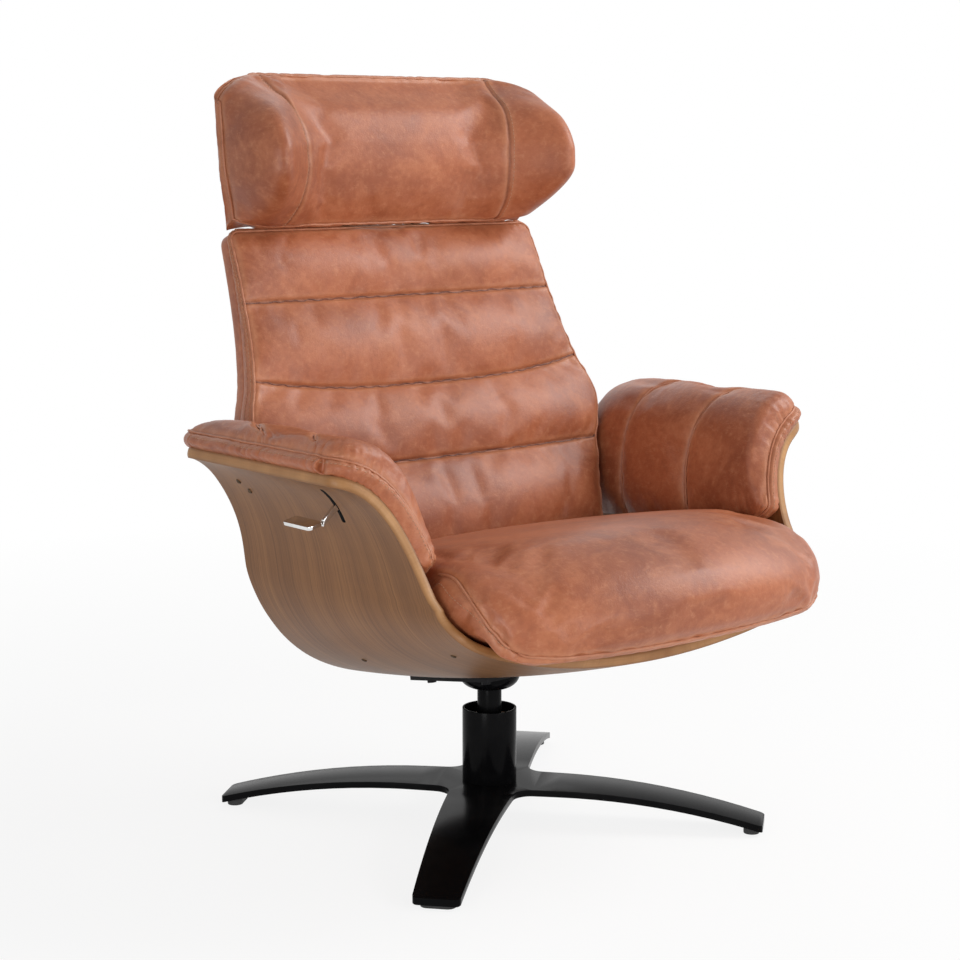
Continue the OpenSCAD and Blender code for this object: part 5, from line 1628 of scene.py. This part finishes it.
@dataclass
class Headrest:
    """Winged headrest cushion."""

    origin: Sequence[float] = (0.0, 228.02, 872.01)
    half: float = 285.0
    drop: float = 46.0
    height: float = 206.0
    curl: float = 28.0
    # Rise of the lower corners and fall of the upper ones, at the front and at the rear
    chin: tuple[float, float] = (13.0, -6.0)
    brow: tuple[float, float] = (46.0, 34.0)
    pinch: float = 24.0
    rear_low: float = 20.0
    rear_top: float = 35.0
    wing: float = 66.0
    face: float = 37.0
    # Depth of the face from its lower to its upper edge
    face_places: Sequence[float] = (0, .02, .165, .36, .49, .585, .776, .938, 1)
    face_depths: Sequence[float] = (-.22, -.38, -.78, -1, -.97, -.89, -.38, .7, .81)
    seam_top: float = 195.0
    seam_bow: float = 16.0
    seam_tilt: float = 5.0
    strip_low: float = 17.0
    strip_top: float = 13.0
    round_share: float = 0.84
    curl_share: float = 0.68
    rows: int = 52
    steps: Sequence[int] = (22, 46, 22)
    bottom_swell: float = 3.6
    swell: float = 3.0
    welt_r: float = 1.9
    stitch_columns: int = 2
    # Half width of the bracket's pocket, then front, rear, lower and upper end of its two cuts
    pocket: float = 79.5
    pocket_cuts: Sequence[tuple[float, float, float, float]] = (
        (-16, 90, -22, 22), (-2, 90, -90, -19))
    pocket_round: float = 1.5

    def grid(self, f: Array, u: Array, front: bool) -> Array:
        """Points of the front or the rear, at shares f of the height and u of the half width."""
        a = np.abs(u)
        ease = np.clip((a - self.curl_share) / (1 - self.curl_share), 0, 1)
        shoulder = 1 - np.sqrt(1 - .97 * ease * ease)
        curl = self.curl * smooth(self.curl_share, 1, a) * smooth(0, .4, f)
        low = self.chin[not front] * shoulder - self.drop
        high = self.height - self.drop - self.brow[not front] * shoulder
        depth = rear = mix(self.rear_low, self.rear_top, f)
        if front:
            wing = self.wing * smooth(.42, .92, a) * np.maximum(np.sin(np.pi * f**1.05), 0) ** 0.42
            face = self.face * table_value(self.face_places, self.face_depths, f)
            thick = rear - (np.minimum(face, rear - 3) - wing)
            strip = np.minimum(mix(self.strip_low, self.strip_top, f), thick)
            depth = rear - mix(thick, strip, rounding(self.round_share, 1, a))
        pinch = self.pinch * (1 - smooth(0, .42, f)) * smooth(.6, 1, a)
        points = np.broadcast_arrays((self.half - pinch) * u, depth - curl, mix(low, high, f))
        return np.stack(points, -1) + np.array(self.origin)

    def build(self) -> None:
        """Builds the cushion, its piping and seams."""
        f = ((1 - np.cos(np.pi * np.linspace(0, 1, self.rows + 1))) / 2)[:, None]
        w = clustered([-1.5, -0.5, 0.5, 1.5], self.steps, 0.7)[None]
        bow = self.seam_bow * np.sin(np.pi * f)
        at = (self.seam_top - bow + self.seam_tilt * (2 * f - 1)) / self.half
        out = np.clip(np.abs(w) - 0.5, 0, 1)
        eased = mix(at, 1.0, mix(out, np.sin(out * np.pi / 2), 0.45))
        u = np.sign(w) * np.where(np.abs(w) <= 0.5, np.abs(w) * 2 * at, eased)
        swell = rim_values(*u.shape, self.bottom_swell, *[self.swell] * 3)
        form = Form(self.grid(f, u, True), self.grid(f, u, False), rings=4, bulge=swell)
        cols = [self.steps[0], self.steps[0] + self.steps[1]]
        edge = form.span(0.0, *Part)
        seams = [Seam(form.front[:, c], 2.0, 3.2, gather=0.9, reach=15, pitch=34, seed=2.0 + c)
                 for c in cols]
        seams.append(Seam(edge, 1.5, 3.2, gather=1.5, reach=16, pitch=23, seed=6.0))
        work = Upholstery(form, seams, pressure=2.2, slack=0.009, give=4.0)
        cushion = work.make("headrest_leather", front_marks(form, cols=cols))
        piping = seated(edge, cushion, self.welt_r * PIPING_LIFT_SHARE)
        beside = [seated(form.front[1:-1, c], cushion, STITCH_LIFT)
                  for c in (cols[0] - self.stitch_columns, cols[1] + self.stitch_columns)]
        _, y, z = self.origin
        for front, rear, low, high in self.pocket_cuts:
            # The pocket's cut faces take the cutter's black lining: painted shade
            cut(cushion, block("pocket_cutter", (-self.pocket, y + front, z + low),
                               (self.pocket, y + rear, z + high), self.pocket_round))
        settled_in(cushion, Body.HEADREST, Slot.LEATHER, "headrest_cushion", fill=0.85)
        trim("headrest_piping", Body.HEADREST, [piping[:-1]], self.welt_r, closed=True)
        trim("headrest_stitches", Body.HEADREST, beside)


@dataclass(frozen=True)
class Hardware:
    """Parts that keep the form of their CAD nodes.

    Attributes:
        rounded: Node, finish, body, slot and rounding in millimetres of those that get soft edges.
        plain: Finish and nodes of those that stay as they are.
    """

    rounded: Sequence[tuple[str, Finish, Body, Slot, float]]
    plain: Sequence[tuple[Finish, Sequence[str]]]

    def build(self) -> None:
        """Gives each part its finish."""
        for part in self.rounded:
            softened(*part)
        for finish, nodes in self.plain:
            dressed(nodes, finish)


STAR_BASE = Hardware(
    (("star_base", BLACK, Body.BASE, Slot.BLACK, 1.0),
     ("column_sleeve", BLACK, Body.BASE, Slot.BLACK, 0.7),
     ("bearing_housing", SATIN, Body.BASE, Slot.BLACK, 0.5),
     ("foot_glides", RUBBER, Body.BASE, Slot.RUBBER, 1.2),
     ("spindle", BLACK, Body.TURNTABLE, Slot.BLACK, 0.6),
     ("swivel_bell", BLACK, Body.TURNTABLE, Slot.BLACK, 0.6),
     ("mounting_plate", SATIN, Body.TURNTABLE, Slot.BLACK, 0.9),
     ("plate_bolts", SATIN, Body.TURNTABLE, Slot.STEEL, 0.5)),
    ((NYLON, ("bush_upper", "bush_lower", "thrust_washer")),
     (ZINC, ("base_bolt", "base_washer", "retaining_ring", "plate_nuts"))))
MECHANISM = Hardware(
    (("lever_arm", CHROME, Body.LEVER, Slot.CHROME, 1.1),
     ("lever_paddle", CHROME, Body.LEVER, Slot.CHROME, 1.1),
     ("headrest_posts", SATIN, Body.BACK, Slot.BLACK, 0.8)),
    ((SATIN, ("chassis", "gas_spring_bracket", "gas_spring_cylinder", "hinge_bracket_left",
              "hinge_bracket_right", "lever_bracket", "seat_frame", "drive_brackets",
              "back_frame", "headrest_plate")),
     (ZINC, ("rails", "recline_pins", "lever_pin", "drive_bar", "headrest_pin")),
     (CHROME, ("gas_spring_rod",)), (NYLON, ("slide_stops", "seat_runners")),
     (WEBBING, ("seat_webbing",)), (BOARD, ("back_board",)), (LINING_AND_SHADE, ("rear_panel",))))


@dataclass
class Studio:
    """Floor, light and camera."""

    azimuth: float = -40.07
    height: float = 0.9434
    distance: float = 2.9018
    pitch: float = 9.0717
    yaw: float = 0.2608
    focal_px: float = 2130.0
    frame_px: float = 960.0
    sensor: float = 36.0
    floor_size: float = 40.0
    floor_grey: float = 0.97
    shadow_ends: tuple[float, float] = (0.9, 2.4)
    world_light: float = 0.36
    shadow_share: float = 0.15
    # Name, place, height of the target, size and power
    lamps: Sequence[tuple[str, tuple[float, float, float], float, float, float]] = (
        ("key", (2.3, -1.25, 2.35), 0.5, 1.7, 62), ("front", (0.5, -3.6, 1.2), 0.55, 1.6, 37),
        ("left", (-2.7, -1.5, 0.6), 0.45, 1.0, 22), ("rim", (1.6, 2.6, 2.2), 0.6, 1.6, 8))

    def camera(self) -> None:
        """Sets the camera at the viewing angle."""
        a, p = math.radians(self.azimuth), math.radians(self.pitch)
        back = Vector((math.sin(a), -math.cos(a), 0))
        ahead = Matrix.Rotation(math.radians(self.yaw), 3, "Z") @ -back
        look = ahead * math.cos(p) - Vector((0, 0, 1)) * math.sin(p)
        data = bpy.data.cameras.new("camera")
        data.sensor_width = self.sensor
        data.lens = self.focal_px / self.frame_px * self.sensor
        camera = linked("camera", data)
        camera.location = back * self.distance + Vector((0, 0, self.height))
        camera.rotation_euler = look.to_track_quat("-Z", "Y").to_euler()
        bpy.context.scene.camera = camera

    def light(self) -> None:
        """Adds soft square lamps that point at the chair."""
        for name, place, target, size, power in self.lamps:
            data = bpy.data.lights.new(name, "AREA")
            data.shape, data.size, data.energy = "SQUARE", size, power
            lamp = linked(name, data)
            lamp.location = place
            look = Vector((0, 0, target)) - Vector(place)
            lamp.rotation_euler = look.to_track_quat("-Z", "Y").to_euler()

    def seen(self, sheet: Sheet) -> Value:
        """1 for rays that show the background: from the camera, a reflection or glass."""
        path = sheet.node("ShaderNodeLightPath")
        camera, glossy, clear = (Value(sheet, path.outputs[f"Is {kind} Ray"])
                                 for kind in ("Camera", "Glossy", "Transmission"))
        return sheet.maths("MINIMUM", camera + glossy + clear, 1.0)

    def floor(self) -> None:
        """Adds the floor, which keeps a soft shadow and glows white far from the chair."""
        half = self.floor_size / 2 / MM
        corners = [[-half, -half, 0], [half, -half, 0], [half, half, 0], [-half, half, 0]]
        floor = piece_of("floor", corners, [(0, 1, 2, 3)], [])
        paint = bpy.data.materials.new("studio_floor")
        sheet = cleared(paint)
        pale = sheet.value("ShaderNodeBsdfDiffuse", {"Color": (*[self.floor_grey] * 3, 1.0)})
        glow = sheet.value("ShaderNodeEmission", {"Color": (1, 1, 1, 1), "Strength": 1.0})
        away = sheet.value("ShaderNodeVectorMath", {0: sheet.place()}, output="Value",
                           operation="LENGTH")
        lit = 1.0 - (1.0 - sheet.ranged(away, *self.shadow_ends)) * self.shadow_share
        shown = sheet.value("ShaderNodeMixShader", {
            0: self.seen(sheet) * lit, 1: pale, 2: glow})
        sheet.node("ShaderNodeOutputMaterial", {"Surface": shown})
        floor.data.materials.append(paint)

    def build(self) -> None:
        """Builds the studio."""
        self.floor()
        scene = bpy.context.scene
        world = bpy.data.worlds.new("studio")
        scene.world = world
        sheet = cleared(world)
        strength = self.seen(sheet) * (1 - self.world_light) + self.world_light
        sky = sheet.value("ShaderNodeBackground", {
            "Color": (1, 1, 1, 1), "Strength": strength})
        sheet.node("ShaderNodeOutputWorld", {"Surface": sky})
        scene.view_settings.view_transform = "Standard"
        self.light()
        self.camera()


def main() -> None:
    """Builds the chair and its studio."""
    logging.basicConfig(level=logging.INFO, format="%(name)s: %(message)s")
    for part in (STAR_BASE, PlywoodShell(), ArmPads(), Seat(), Back(), Headrest(), MECHANISM,
                 Studio()):
        part.build()


if __name__ == "__main__":
    main()
